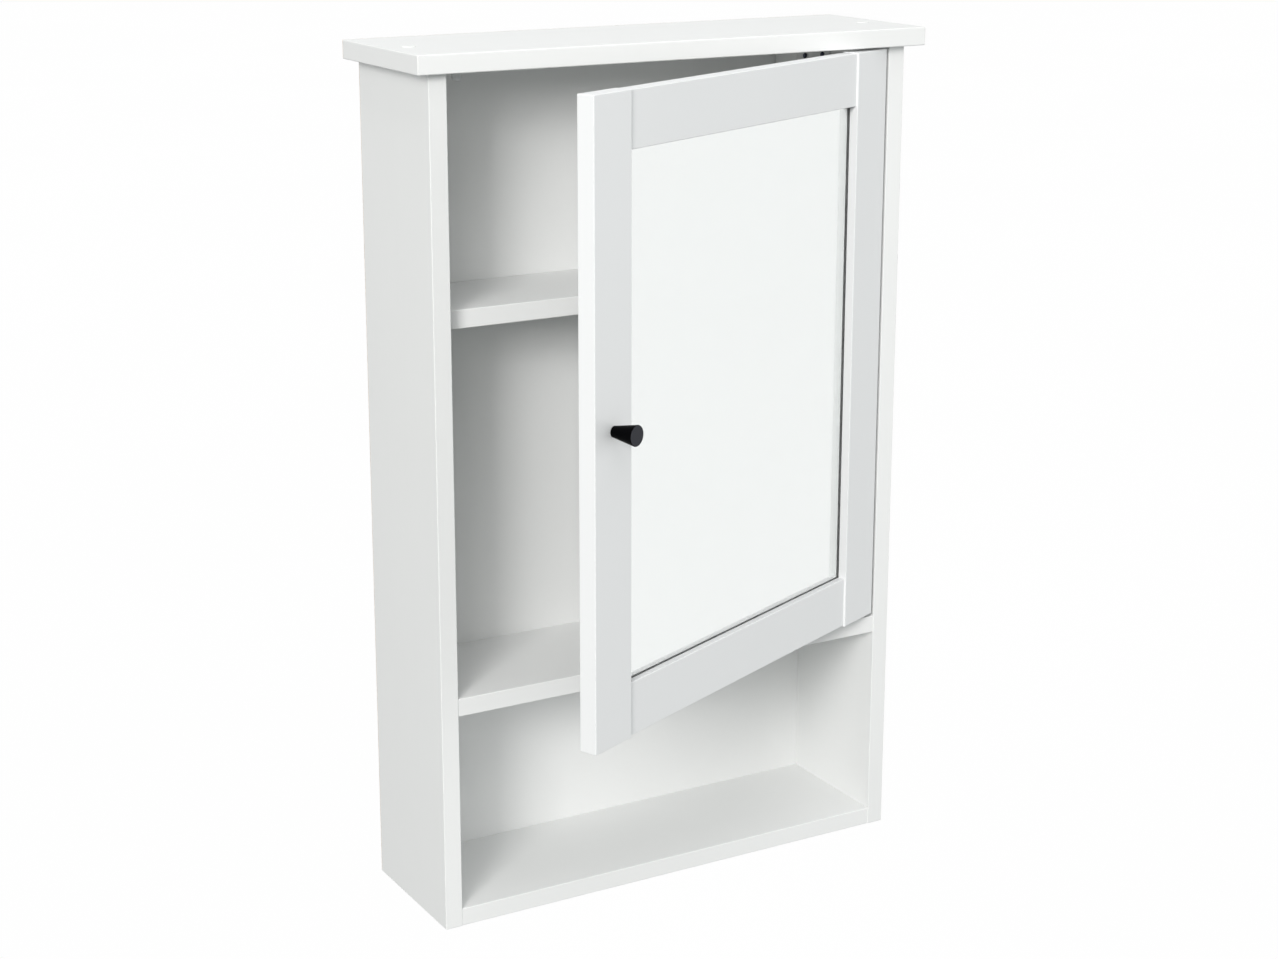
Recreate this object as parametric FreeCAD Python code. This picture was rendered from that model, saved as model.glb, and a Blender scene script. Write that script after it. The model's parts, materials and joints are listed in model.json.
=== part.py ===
import FreeCAD, Part
import math
import os
from FreeCAD import Placement, Rotation, Vector

# A wall-hung medicine cabinet: an inset mirrored door over an open lower compartment.
# X runs to the viewer's right, the front faces -Y, the wall is the plane Y = 0 and Z is up.
# The origin is the middle of the four wall-plate screw holes, on the wall plane.

# ---- driving dimensions, mm ----
BOARD = 18.0
CARCASS_WIDTH = 520.0
CARCASS_DEPTH = 153.0
SIDE_HEIGHT = 832.0
TOP_OVERHANG_SIDE = 16.0
TOP_OVERHANG_FRONT = 13.0
HANG_HEIGHT = 774.0          # wall-plate hole pattern above the underside of the cabinet
EDGE = 0.8                   # softened edges of the boards
TOP_EDGE = 1.2               # and of the top board

BACK_SETBACK = 139.4         # front edges to the back panel's front face
BACK_THICK = 3.0
GROOVE_DEPTH = 6.0
GROOVE_PLAY = 0.1

FIXED_SHELF_TOP = 236.6
MIDDLE_SHELF_TOP = 611.0
MIDDLE_SHELF_SETBACK = 19.6
SHELF_PLAY = 0.8
SHELF_RECESS = 0.7           # fixed boards stand this far behind the side panels' front edges

DOOR_GAP_SIDE = 2.5
DOOR_GAP_TOP = 2.5
DOOR_GAP_BOTTOM = 4.1
DOOR_RECESS = 0.4
STILE = 53.5
RAIL = 52.0
RAIL_SET = 2.2               # rails stand behind the stiles' front faces
RAIL_STEP = 0.6              # and stop short of the stiles' ends
MIRROR_SET = 8.8             # stile face to glass
GLASS = 4.0
BACKING = 3.0
REBATE = 7.0
REBATE_PLAY = 0.5
BEAD_WIDTH = 10.0
BEAD_SINK = 0.2              # the beads lie this far below the door's back

OPEN_ANGLE = 23.8            # the door's opening angle as modelled
PIVOT_IN = -0.5              # the door's effective axis, from the right side panel's inner face
PIVOT_BACK = -2.6            # and behind the front edges, so it is just in front of them

KNOB_LENGTH = 25.5
KNOB_FACE_R = 10.0
KNOB_BASE_R = 5.3
KNOB_BEVEL = 0.9

HINGE_END = 100.0            # hinge centres from the door's top and bottom edges
CUP_R = 17.5
CUP_DEPTH = 11.3
CUP_EDGE = 22.5              # cup centre from the door's hinge edge
CUP_WALL = 1.2
FLANGE = 0.9
ARM_PIVOT = (18.0, 25.0)     # from the side panel's inner face, and behind the front edges
CUP_PIVOT = (22.8, 14.8)     # the same, with the door shut
PIN_R = 2.0
PIN_FIT = 0.05
OPEN_PIVOT_FIT = 0.3
EYE_R = 4.0
LINK_CORE = 5.5              # half width of the arm's nose and of the inner link
LINK_WEB = 2.4
CHEEK = 2.0
CHEEK_GAP = 0.4

HANGER_WIDTH = 42.0
HANGER_DEPTH = 38.6
HANGER_HEIGHT = 46.0
PLATE_HOLE_X = 214.0
PLATE_HOLE_Z = 10.0
PLATE_HOLE_R = 2.75
PLATE_THICK = 2.0

DOWEL_R = 4.0
FIT = 0.05                   # radial clearance of pins, dowels and screws in their holes
OVER = 1.0                   # how far a cutting shape runs past the face that it cuts
END_PLAY = 0.2               # free depth at the end of a blind hole

# ---- derived levels and planes ----
INNER = CARCASS_WIDTH / 2 - BOARD
FRONT = -CARCASS_DEPTH
FLOOR = -HANG_HEIGHT
CEILING = FLOOR + SIDE_HEIGHT
BACK_FACE = FRONT + BACK_SETBACK
FIXED_TOP = FLOOR + FIXED_SHELF_TOP
MIDDLE_TOP = FLOOR + MIDDLE_SHELF_TOP
MIDDLE_UNDER = MIDDLE_TOP - BOARD

DOOR_HALF = INNER - DOOR_GAP_SIDE
DOOR_LOW = FIXED_TOP + DOOR_GAP_BOTTOM
DOOR_HIGH = CEILING - DOOR_GAP_TOP
DOOR_FRONT = FRONT + DOOR_RECESS
DOOR_BACK = DOOR_FRONT + BOARD
RAIL_HALF = DOOR_HALF - STILE
GLASS_FRONT = DOOR_FRONT + MIRROR_SET
BACKING_FRONT = GLASS_FRONT + GLASS
BEAD_FRONT = BACKING_FRONT + BACKING

HINGE_LEVELS = {"lower": DOOR_LOW + HINGE_END, "upper": DOOR_HIGH - HINGE_END}
SIDES = {"left": -1, "right": 1}
UP = Vector(0, 0, 1)
RIGHT = Vector(1, 0, 0)
BACKWARD = Vector(0, 1, 0)
X_AXIS, Y_AXIS, Z_AXIS = 0, 1, 2


def box(x, y, z):
    """A block between three (low, high) pairs."""
    low = Vector(min(x), min(y), min(z))
    return Part.makeBox(abs(x[1] - x[0]), abs(y[1] - y[0]), abs(z[1] - z[0]), low)


def rod(start, direction, radius, length):
    return Part.makeCylinder(radius, length, Vector(*start), direction)


def cone(start, direction, radius_a, radius_b, length):
    return Part.makeCone(radius_a, radius_b, length, Vector(*start), direction)


def group(shapes):
    """Like pieces kept as separate solids in one node."""
    return Part.makeCompound(shapes)


def soften(shape, radius, wanted):
    """Round the straight edges whose middle point passes the test."""
    edges = [e for e in shape.Edges if wanted(e.CenterOfMass)]
    return shape.makeFillet(radius, edges)


def cut_all(shape, tools):
    for tool in tools:
        shape = shape.cut(tool)
    return shape


def cross_slots(centre, axis, reach, half, span):
    """Two crossed blocks for a screw's cross recess; span is their (low, high) along the screw's axis."""
    slots = []
    for widths in ((reach, half), (half, reach)):
        free = iter(widths)
        ranges = []
        for i in range(3):
            width = 0 if i == axis else next(free)
            ranges.append(span if i == axis else (centre[i] - width, centre[i] + width))
        slots.append(box(*ranges))
    return slots


def near(value, target):
    return abs(value - target) < 0.01


def save(name, shape):
    if not shape.isValid():
        raise RuntimeError(name + " is not a valid solid")
    shape.exportStep(os.path.join("parts", name + ".step"))


# ---- carcass joints: positions shared by the boards and their hardware ----
TOP_SCREW_Y = FRONT + 60.0
TOP_DOWEL_Y = (FRONT + 25.0, FRONT + 122.0)
BOARD_DOWEL_Y = (FRONT + 28.0, FRONT + 122.0)
CAM_Y = FRONT + 75.0
CAM_INSET = 24.0
CAM_R = 7.5
CAM_DEPTH = 12.5
BOLT_R = 3.0
BOLT_PLAY = 0.5
BOLT_NECK_R = 2.0
BOLT_HEAD = 3.0
PIN_Y = (FRONT + 50.0, FRONT + 112.0)
SHELF_PIN_R = 2.5
SHELF_PIN_PITCH = 32.0
SHELF_PIN_LEVEL = MIDDLE_UNDER - SHELF_PIN_R
CAP_R = 6.8
CAP_PROUD = 0.8
CAP_STEM_R = 4.9
SCREW_POCKET = 8.0
SCREW_POCKET_R = 5.0
SCREW_R = 2.5
SCREW_LENGTH = 50.0
SCREW_HEAD = 3.5
SCREW_HEAD_R = 4.8
PILOT_R = 2.0                # holes and threads of the small chipboard screws
DOWEL_HALF = 15.0            # of the top board's dowels, that in the side panel
DOWEL_IN_TOP = 12.0
DOWEL_IN_BOARD = 19.0        # of a shelf's dowels, that in the shelf
DOWEL_IN_PANEL = 10.0
CAM_BOLT_BITE = 11.0
CAM_WEB = 0.3                # the cam's face stands this far inside the board's underside
CAM_SLOT = (4.0, 0.9, 2.3)   # its cross recess: half length, half width, depth
CAP_DISH = 0.25
CAP_RIM = 1.1
CAP_STEM = 3.5
SHELF_PIN_HOLE = 9.0
SHELF_PIN_REACH = 7.5        # how far a pin stands out under the shelf
SHELF_PIN_IN_PANEL = 8.5
SHELF_PIN_COLLAR = 1.4
HANGER_SCREW_HOLE = 12.0
HINGE_SCREW_HOLE = 12.0
HINGE_SCREW_BITE = 11.5
HINGE_SCREW_OFFSETS = (-16.0, 16.0)
JOINED_BOARDS = {"bottom": FLOOR + BOARD / 2, "fixed": FIXED_TOP - BOARD / 2}


def side_panel(sign):
    outer = sign * CARCASS_WIDTH / 2
    inner = sign * INNER
    inward = RIGHT * sign
    middle = sign * (INNER + BOARD / 2)
    panel = box((inner, outer), (FRONT, 0), (FLOOR, CEILING))
    panel = soften(panel, EDGE, lambda p: near(p.y, FRONT) and not near(p.z, CEILING) or near(p.z, FLOOR))

    def bore(y, level, radius, depth):
        start = (inner - sign * OVER, y, level)
        return rod(start, inward, radius + FIT, OVER + depth)

    tools = [box((inner - sign * OVER, inner + sign * GROOVE_DEPTH),
                 (BACK_FACE - GROOVE_PLAY, BACK_FACE + BACK_THICK + GROOVE_PLAY),
                 (FLOOR + BOARD - GROOVE_DEPTH, CEILING + OVER))]
    tools += [rod((middle, y, CEILING - DOWEL_HALF - FIT), UP, DOWEL_R + FIT, BOARD) for y in TOP_DOWEL_Y]
    tools.append(rod((middle, TOP_SCREW_Y, CEILING - SCREW_LENGTH), UP, SCREW_R + FIT, SCREW_LENGTH + OVER))
    for level in JOINED_BOARDS.values():
        tools += [bore(y, level, DOWEL_R, DOWEL_IN_PANEL + END_PLAY) for y in BOARD_DOWEL_Y]
        tools.append(bore(CAM_Y, level, SCREW_R, CAM_BOLT_BITE + END_PLAY))
    for step in (-1, 0, 1):
        level = SHELF_PIN_LEVEL + step * SHELF_PIN_PITCH
        tools += [bore(y, level, SHELF_PIN_R, SHELF_PIN_HOLE) for y in PIN_Y]
    tools += [bore(y, level, PILOT_R, HANGER_SCREW_HOLE) for y, level in hanger_screw_places()]
    if sign > 0:
        tools += [bore(FRONT + PLATE_SCREW_BACK, level + offset, HINGE_SCREW_R, HINGE_SCREW_HOLE)
                  for level in HINGE_LEVELS.values() for offset in HINGE_SCREW_OFFSETS]
    return cut_all(panel, tools)


def top_board():
    half = CARCASS_WIDTH / 2 + TOP_OVERHANG_SIDE
    front = FRONT - TOP_OVERHANG_FRONT
    board = box((-half, half), (front, 0), (CEILING, CEILING + BOARD))
    board = soften(board, TOP_EDGE, lambda p: not near(p.y, 0))
    under = CEILING - OVER
    tools = [box((-INNER - GROOVE_DEPTH, INNER + GROOVE_DEPTH),
                 (BACK_FACE - GROOVE_PLAY, BACK_FACE + BACK_THICK + GROOVE_PLAY),
                 (under, CEILING + GROOVE_DEPTH))]
    for sign in SIDES.values():
        middle = sign * (INNER + BOARD / 2)
        tools += [rod((middle, y, under), UP, DOWEL_R + FIT, OVER + DOWEL_IN_TOP + FIT) for y in TOP_DOWEL_Y]
        tools.append(rod((middle, TOP_SCREW_Y, under), UP, SCREW_R + FIT, BOARD + 2 * OVER))
        pocket = (middle, TOP_SCREW_Y, CEILING + BOARD - SCREW_POCKET)
        tools.append(rod(pocket, UP, SCREW_POCKET_R, SCREW_POCKET + OVER))
    tools.append(rod((STOP_X, STOP_Y, under), UP, STOP_STEM_R + FIT, STOP_STEM + OVER))
    return cut_all(board, tools)


def joined_board(level, y_back, grooved):
    """A board between the side panels, held by dowels and one cam lock at each end."""
    low = level - BOARD / 2
    front = FRONT + SHELF_RECESS
    board = box((-INNER, INNER), (front, y_back), (low, low + BOARD))
    board = soften(board, EDGE, lambda p: near(p.y, front) and near(p.x, 0))
    tools = []
    if grooved:
        tools.append(box((-INNER - OVER, INNER + OVER),
                         (BACK_FACE - GROOVE_PLAY, BACK_FACE + BACK_THICK + GROOVE_PLAY),
                         (low + BOARD - GROOVE_DEPTH, low + BOARD + OVER)))
    dowel_depth = DOWEL_IN_BOARD + END_PLAY
    for sign in SIDES.values():
        outward = RIGHT * sign
        for y in BOARD_DOWEL_Y:
            start = (sign * (INNER - dowel_depth), y, level)
            tools.append(rod(start, outward, DOWEL_R + FIT, dowel_depth + OVER))
        cam_x = sign * (INNER - CAM_INSET)
        tools.append(rod((cam_x, CAM_Y, level), outward, BOLT_R + BOLT_PLAY, CAM_INSET + OVER))
        tools.append(rod((cam_x, CAM_Y, low - OVER), UP, CAM_R + FIT, CAM_DEPTH + OVER))
    return cut_all(board, tools)


def middle_shelf():
    front = FRONT + MIDDLE_SHELF_SETBACK
    half = INNER - SHELF_PLAY
    shelf = box((-half, half), (front, BACK_FACE - SHELF_PLAY / 2), (MIDDLE_UNDER, MIDDLE_TOP))
    return soften(shelf, EDGE, lambda p: near(p.y, front))


def back_panel():
    half = INNER + GROOVE_DEPTH - GROOVE_PLAY
    panel = box((-half, half), (BACK_FACE, BACK_FACE + BACK_THICK),
                (FLOOR + BOARD - GROOVE_DEPTH + GROOVE_PLAY, CEILING + GROOVE_DEPTH - GROOVE_PLAY))
    slots = [box((sign * HOOK_X - HOOK_SLOT_HALF, sign * HOOK_X + HOOK_SLOT_HALF), (BACK_FACE - OVER, 0),
                 (HOOK_SLOT_LOW, HOOK_SLOT_TOP)) for sign in SIDES.values()]
    return cut_all(panel, slots)


def panel_dowels():
    rods = []
    for sign in SIDES.values():
        middle = sign * (INNER + BOARD / 2)
        rods += [rod((middle, y, CEILING - DOWEL_HALF), UP, DOWEL_R, DOWEL_HALF + DOWEL_IN_TOP)
                 for y in TOP_DOWEL_Y]
        rods += [rod((sign * (INNER - DOWEL_IN_BOARD), y, level), RIGHT * sign, DOWEL_R,
                     DOWEL_IN_BOARD + DOWEL_IN_PANEL)
                 for level in JOINED_BOARDS.values() for y in BOARD_DOWEL_Y]
    return group(rods)


def cam_locks():
    cams = []
    for sign in SIDES.values():
        for level in JOINED_BOARDS.values():
            x = sign * (INNER - CAM_INSET)
            face = level - BOARD / 2 + CAM_WEB
            cam = rod((x, CAM_Y, face), UP, CAM_R, CAM_DEPTH - CAM_WEB - END_PLAY)
            mouth = rod((x - sign, CAM_Y, level), RIGHT * sign, BOLT_R + BOLT_PLAY + FIT, CAM_R + 2 * OVER)
            reach, half, depth = CAM_SLOT
            slots = cross_slots((x, CAM_Y, face), Z_AXIS, reach, half, (face - OVER, face + depth))
            cams.append(cut_all(cam, [mouth] + slots))
    return group(cams)


def cam_bolts():
    bolts = []
    for sign in SIDES.values():
        for level in JOINED_BOARDS.values():
            axis = RIGHT * sign
            head_start = INNER - CAM_INSET + 1.0
            threaded = rod((sign * INNER, CAM_Y, level), axis, SCREW_R, CAM_BOLT_BITE)
            neck = rod((sign * (head_start + BOLT_HEAD), CAM_Y, level), axis, BOLT_NECK_R,
                       INNER - head_start - BOLT_HEAD)
            head = rod((sign * head_start, CAM_Y, level), axis, BOLT_R, BOLT_HEAD)
            bolts.append(threaded.fuse([neck, head]))
    return group(bolts)


def top_screws():
    screws = []
    for sign in SIDES.values():
        x = sign * (INNER + BOARD / 2)
        seat = CEILING + BOARD - SCREW_POCKET
        shank = rod((x, TOP_SCREW_Y, CEILING - SCREW_LENGTH + END_PLAY), UP, SCREW_R,
                    seat - CEILING + SCREW_LENGTH - END_PLAY)
        head = rod((x, TOP_SCREW_Y, seat), UP, SCREW_HEAD_R, SCREW_HEAD)
        drive = rod((x, TOP_SCREW_Y, seat + 1.0), UP, 2.0, SCREW_HEAD)
        screws.append(shank.fuse(head).cut(drive))
    return group(screws)


def cover_cap(sign):
    x = sign * (INNER + BOARD / 2)
    top = CEILING + BOARD
    disc = rod((x, TOP_SCREW_Y, top), UP, CAP_R, CAP_PROUD)
    disc = disc.makeFillet(0.35, [e for e in disc.Edges if near(e.CenterOfMass.z, top + CAP_PROUD)])
    dish = rod((x, TOP_SCREW_Y, top + CAP_PROUD - CAP_DISH), UP, CAP_R - CAP_RIM, CAP_DISH + OVER)
    stem = rod((x, TOP_SCREW_Y, top - CAP_STEM), UP, CAP_STEM_R, CAP_STEM)
    return disc.fuse(stem).cut(dish)


def shelf_pins():
    pins = []
    for sign in SIDES.values():
        for y in PIN_Y:
            start = (sign * (INNER - SHELF_PIN_REACH), y, SHELF_PIN_LEVEL)
            pin = rod(start, RIGHT * sign, SHELF_PIN_R, SHELF_PIN_REACH + SHELF_PIN_IN_PANEL)
            collar = rod((sign * (INNER - SHELF_PIN_COLLAR), y, SHELF_PIN_LEVEL), RIGHT * sign,
                         SHELF_PIN_R + SHELF_PIN_COLLAR, SHELF_PIN_COLLAR)
            above = 2 * SHELF_PIN_R
            flat = box((-INNER, INNER), (y - above, y + above), (MIDDLE_UNDER, MIDDLE_UNDER + above))
            pins.append(pin.fuse(collar).cut(flat))
    return group(pins)


# ---- cabinet hangers and wall plates ----
HANGER_TOP = CEILING - 1.0
HANGER_LOW = HANGER_TOP - HANGER_HEIGHT
HANGER_FRONT = BACK_FACE - HANGER_DEPTH
HANGER_WALL = 1.8
ADJUSTER_LEVEL = FLOOR + 815.0
ADJUSTER_OFFSET = 10.6
ADJUSTER_R = 2.9
HOOK_X = INNER - HANGER_WIDTH / 2
HOOK_THICK = 3.0
HOOK_LOW = FLOOR + 806.0
HOOK_TOP = HOOK_LOW + 12.0
HOOK_BACK = -2.6             # the hook's rear face, just clear of the wall
HOOK_FRONT = HANGER_FRONT + 9.0
TONGUE_FRONT = -5.2
TONGUE_LOW = HOOK_LOW - 6.0
HEEL_DEPTH = 9.0
HEEL_DROP = 14.0
HOOK_SLOT_HALF = 9.0
HOOK_SLOT_LOW = HOOK_LOW - 6.0
HOOK_SLOT_TOP = HOOK_TOP + 5.0
LIP_TOP = HOOK_LOW - 0.1
LIP_OFFSET = 6.0             # the wall plate's lip stands this far off the wall
PLATE_HALF = 22.0
PLATE_LOW = FLOOR + 755.0
PLATE_BEND = FLOOR + 793.0
ADJUSTER_HEAD = 3.0
ADJUSTER_SINK = 0.2
ADJUSTER_SHANK = 26.0
ADJUSTER_SHANK_R = 1.9
HANGER_SCREW_PLACES = ((12.0, 9.0), (27.0, 9.0))   # behind the housing's front, above its underside
HANGER_SCREW_HEAD = 1.6
HANGER_SCREW_HEAD_R = 3.4
HANGER_SCREW_BITE = 11.5


def hanger_screw_places():
    return [(HANGER_FRONT + back, HANGER_LOW + rise) for back, rise in HANGER_SCREW_PLACES]


def hanger_housing(sign):
    x = (sign * INNER, sign * (INNER - HANGER_WIDTH))
    body = box(x, (HANGER_FRONT, BACK_FACE - 0.1), (HANGER_LOW, HANGER_TOP))
    body = soften(body, 2.0, lambda p: near(p.y, HANGER_FRONT) or near(p.x, x[1]) and near(p.z, HANGER_LOW))
    cavity = box((x[0] - sign * HANGER_WALL, x[1] + sign * HANGER_WALL),
                 (HANGER_FRONT + HANGER_WALL, BACK_FACE + OVER),
                 (HANGER_LOW + HANGER_WALL, HANGER_TOP - HANGER_WALL))
    tools = [cavity]
    for offset in (-ADJUSTER_OFFSET, ADJUSTER_OFFSET):
        start = (sign * HOOK_X + offset, HANGER_FRONT - OVER, ADJUSTER_LEVEL)
        tools.append(rod(start, BACKWARD, ADJUSTER_R + FIT, HANGER_WALL + 2 * OVER))
    for y, level in hanger_screw_places():
        start = (sign * (INNER - 2 * HANGER_WALL), y, level)
        tools.append(rod(start, RIGHT * sign, PILOT_R + FIT, 2 * HANGER_WALL + OVER))
    return cut_all(body, tools)


def hanger_hook(sign):
    """A steel lever whose tongue drops behind the wall plate's lip."""
    x = (sign * HOOK_X - HOOK_THICK / 2, sign * HOOK_X + HOOK_THICK / 2)
    arm = box(x, (HOOK_FRONT, HOOK_BACK), (HOOK_LOW, HOOK_TOP))
    tongue = box(x, (TONGUE_FRONT, HOOK_BACK), (TONGUE_LOW, HOOK_LOW + OVER))
    heel = box(x, (HOOK_FRONT, HOOK_FRONT + HEEL_DEPTH), (HOOK_LOW - HEEL_DROP, HOOK_LOW + OVER))
    hook = arm.fuse([tongue, heel]).removeSplitter()
    return soften(hook, 1.0, lambda p: near(p.y, HOOK_BACK) and near(p.z, HOOK_TOP))


def hanger_adjusters():
    screws = []
    for sign in SIDES.values():
        for offset in (-ADJUSTER_OFFSET, ADJUSTER_OFFSET):
            x = sign * HOOK_X + offset
            seat = (x, HANGER_FRONT + ADJUSTER_SINK, ADJUSTER_LEVEL)
            head = rod(seat, BACKWARD, ADJUSTER_R, ADJUSTER_HEAD)
            shank = rod((x, HANGER_FRONT + ADJUSTER_HEAD, ADJUSTER_LEVEL), BACKWARD, ADJUSTER_SHANK_R,
                        ADJUSTER_SHANK)
            slots = cross_slots((x, HANGER_FRONT, ADJUSTER_LEVEL), Y_AXIS, 2.0, 0.4,
                                (HANGER_FRONT, HANGER_FRONT + ADJUSTER_HEAD / 2))
            screws.append(cut_all(head.fuse(shank), slots))
    return group(screws)


def hanger_fixing_screws():
    screws = []
    for sign in SIDES.values():
        for y, level in hanger_screw_places():
            wall = sign * (INNER - HANGER_WALL)
            head = rod((wall - sign * HANGER_SCREW_HEAD, y, level), RIGHT * sign, HANGER_SCREW_HEAD_R,
                       HANGER_SCREW_HEAD)
            shank = rod((wall, y, level), RIGHT * sign, PILOT_R, HANGER_WALL + HANGER_SCREW_BITE)
            screws.append(head.fuse(shank))
    return group(screws)


def wall_plate(sign):
    """A flat steel plate for two wall screws, with a lip that stands off the wall for the hook."""
    corner = PLATE_THICK / 2     # a 45 degree bend moves the front face's corners down by about this much
    lip_front = -LIP_OFFSET - PLATE_THICK
    outline = [(0, PLATE_LOW), (0, PLATE_BEND),
               (-LIP_OFFSET, PLATE_BEND + LIP_OFFSET), (-LIP_OFFSET, LIP_TOP),
               (lip_front, LIP_TOP), (lip_front, PLATE_BEND + LIP_OFFSET - corner),
               (-PLATE_THICK, PLATE_BEND - corner), (-PLATE_THICK, PLATE_LOW)]
    x = sign * PLATE_HOLE_X - PLATE_HALF
    points = [Vector(x, y, z) for y, z in outline]
    plate = Part.Face(Part.makePolygon(points + points[:1])).extrude(RIGHT * (2 * PLATE_HALF))
    front = -PLATE_THICK - OVER
    holes = [rod((sign * PLATE_HOLE_X, front, z), BACKWARD, PLATE_HOLE_R, PLATE_THICK + 2 * OVER)
             for z in (-PLATE_HOLE_Z, PLATE_HOLE_Z)]
    return cut_all(plate, holes)


# ---- the peg that stops the door's free corner ----
STOP_R = 5.0
STOP_HEIGHT = 10.5
STOP_STEM_R = 2.4
STOP_STEM = 8.0
STOP_EDGE = 1.5
STOP_X = -220.5
STOP_Y = DOOR_BACK + STOP_R + 0.3


def door_stop():
    peg = rod((STOP_X, STOP_Y, CEILING - STOP_HEIGHT), UP, STOP_R, STOP_HEIGHT)
    peg = peg.makeFillet(STOP_EDGE, [e for e in peg.Edges if near(e.CenterOfMass.z, CEILING - STOP_HEIGHT)])
    return peg.fuse(rod((STOP_X, STOP_Y, CEILING), UP, STOP_STEM_R, STOP_STEM - END_PLAY))


# ---- door, built shut ----
FRAME_DOWEL_R = 3.0
FRAME_DOWEL_HALF = 14.0
HINGE_SCREW_R = 1.9
PLATE_SCREW_BACK = 57.0
CUP_X = DOOR_HALF - CUP_EDGE
CUP_SCREW_X = CUP_X - 6.0
CUP_SCREW_Z = 24.0
CUP_SCREW_BITE = 12.0
CUP_SCREW_HEAD = 1.4
KNOB_X = -DOOR_HALF + STILE / 2
KNOB_Z = (DOOR_LOW + DOOR_HIGH) / 2
KNOB_SCREW_R = 2.0
KNOB_SCREW_BITE = 9.0
KNOB_SCREW_HEAD = 2.4
KNOB_SCREW_HEAD_R = 4.0
RAIL_RANGES = {"top": (DOOR_HIGH - RAIL, DOOR_HIGH - RAIL_STEP),
               "bottom": (DOOR_LOW + RAIL_STEP, DOOR_LOW + RAIL)}


def frame_dowel_places():
    y = (DOOR_FRONT + RAIL_SET + DOOR_BACK) / 2
    return [(y, low + f * (high - low)) for low, high in RAIL_RANGES.values() for f in (0.3, 0.7)]


def door_stile(sign):
    outer = sign * DOOR_HALF
    inner = sign * RAIL_HALF
    stile = box((inner, outer), (DOOR_FRONT, DOOR_BACK), (DOOR_LOW, DOOR_HIGH))
    stile = soften(stile, EDGE, lambda p: near(p.y, DOOR_FRONT) or near(p.x, outer) or
                   near(p.y, DOOR_BACK) and not near(p.x, inner))
    tools = [box((inner - sign * OVER, inner + sign * REBATE), (GLASS_FRONT, DOOR_BACK + OVER),
                 (DOOR_LOW + RAIL - REBATE, DOOR_HIGH - RAIL + REBATE))]
    for y, z in frame_dowel_places():
        start = (inner - sign * OVER, y, z)
        tools.append(rod(start, RIGHT * sign, FRAME_DOWEL_R + FIT, OVER + FRAME_DOWEL_HALF + END_PLAY))
    if sign > 0:
        screw_depth = CUP_SCREW_BITE + END_PLAY
        for level in HINGE_LEVELS.values():
            bottom = (CUP_X, DOOR_BACK - CUP_DEPTH - 2 * FIT, level)
            tools.append(rod(bottom, BACKWARD, CUP_R + FIT, CUP_DEPTH + OVER))
            for offset in (-CUP_SCREW_Z, CUP_SCREW_Z):
                start = (CUP_SCREW_X, DOOR_BACK - screw_depth, level + offset)
                tools.append(rod(start, BACKWARD, HINGE_SCREW_R + FIT, screw_depth + OVER))
    else:
        start = (KNOB_X, DOOR_FRONT - OVER, KNOB_Z)
        tools.append(rod(start, BACKWARD, KNOB_SCREW_R + FIT, BOARD + 2 * OVER))
    return cut_all(stile, tools)


def door_rail(name):
    low, high = RAIL_RANGES[name]
    front = DOOR_FRONT + RAIL_SET
    rail = box((-RAIL_HALF, RAIL_HALF), (front, DOOR_BACK), (low, high))
    rail = soften(rail, EDGE, lambda p: near(p.x, 0))
    inner_edge = low if name == "top" else high
    tools = [box((-RAIL_HALF - OVER, RAIL_HALF + OVER), (GLASS_FRONT, DOOR_BACK + OVER),
                 (inner_edge - REBATE, inner_edge + REBATE))]
    depth = FRAME_DOWEL_HALF + END_PLAY
    for sign in SIDES.values():
        for y, z in frame_dowel_places():
            if low < z < high:
                start = (sign * (RAIL_HALF - depth), y, z)
                tools.append(rod(start, RIGHT * sign, FRAME_DOWEL_R + FIT, depth + OVER))
    return cut_all(rail, tools)


def frame_dowels():
    rods = []
    for sign in SIDES.values():
        for y, z in frame_dowel_places():
            start = (sign * (RAIL_HALF - FRAME_DOWEL_HALF), y, z)
            rods.append(rod(start, RIGHT * sign, FRAME_DOWEL_R, 2 * FRAME_DOWEL_HALF))
    return group(rods)


def pane(front, thickness):
    half = RAIL_HALF + REBATE - REBATE_PLAY
    low = DOOR_LOW + RAIL - REBATE + REBATE_PLAY
    high = DOOR_HIGH - RAIL + REBATE - REBATE_PLAY
    return box((-half, half), (front, front + thickness), (low, high))


def backing_bead(name):
    """A flat strip that holds the backing board in the frame's rebate."""
    half = RAIL_HALF + REBATE - FIT
    low = DOOR_LOW + RAIL - REBATE + FIT
    high = DOOR_HIGH - RAIL + REBATE - FIT
    y = (BEAD_FRONT, DOOR_BACK - BEAD_SINK)
    if name in SIDES:
        sign = SIDES[name]
        return box((sign * (half - BEAD_WIDTH), sign * half), y, (low, high))
    z = (high - BEAD_WIDTH, high) if name == "top" else (low, low + BEAD_WIDTH)
    return box((-half + BEAD_WIDTH, half - BEAD_WIDTH), y, z)


def door_knob():
    start = Vector(KNOB_X, DOOR_FRONT, KNOB_Z)
    forward = Vector(0, -1, 0)
    body = Part.makeCone(KNOB_BASE_R, KNOB_FACE_R, KNOB_LENGTH, start, forward)
    face = [e for e in body.Edges if near(e.CenterOfMass.y, DOOR_FRONT - KNOB_LENGTH)]
    body = body.makeFillet(KNOB_BEVEL, face)
    tapping = rod((KNOB_X, DOOR_FRONT + OVER, KNOB_Z), forward, KNOB_SCREW_R + FIT,
                  OVER + KNOB_SCREW_BITE + END_PLAY)
    return body.cut(tapping)


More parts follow.
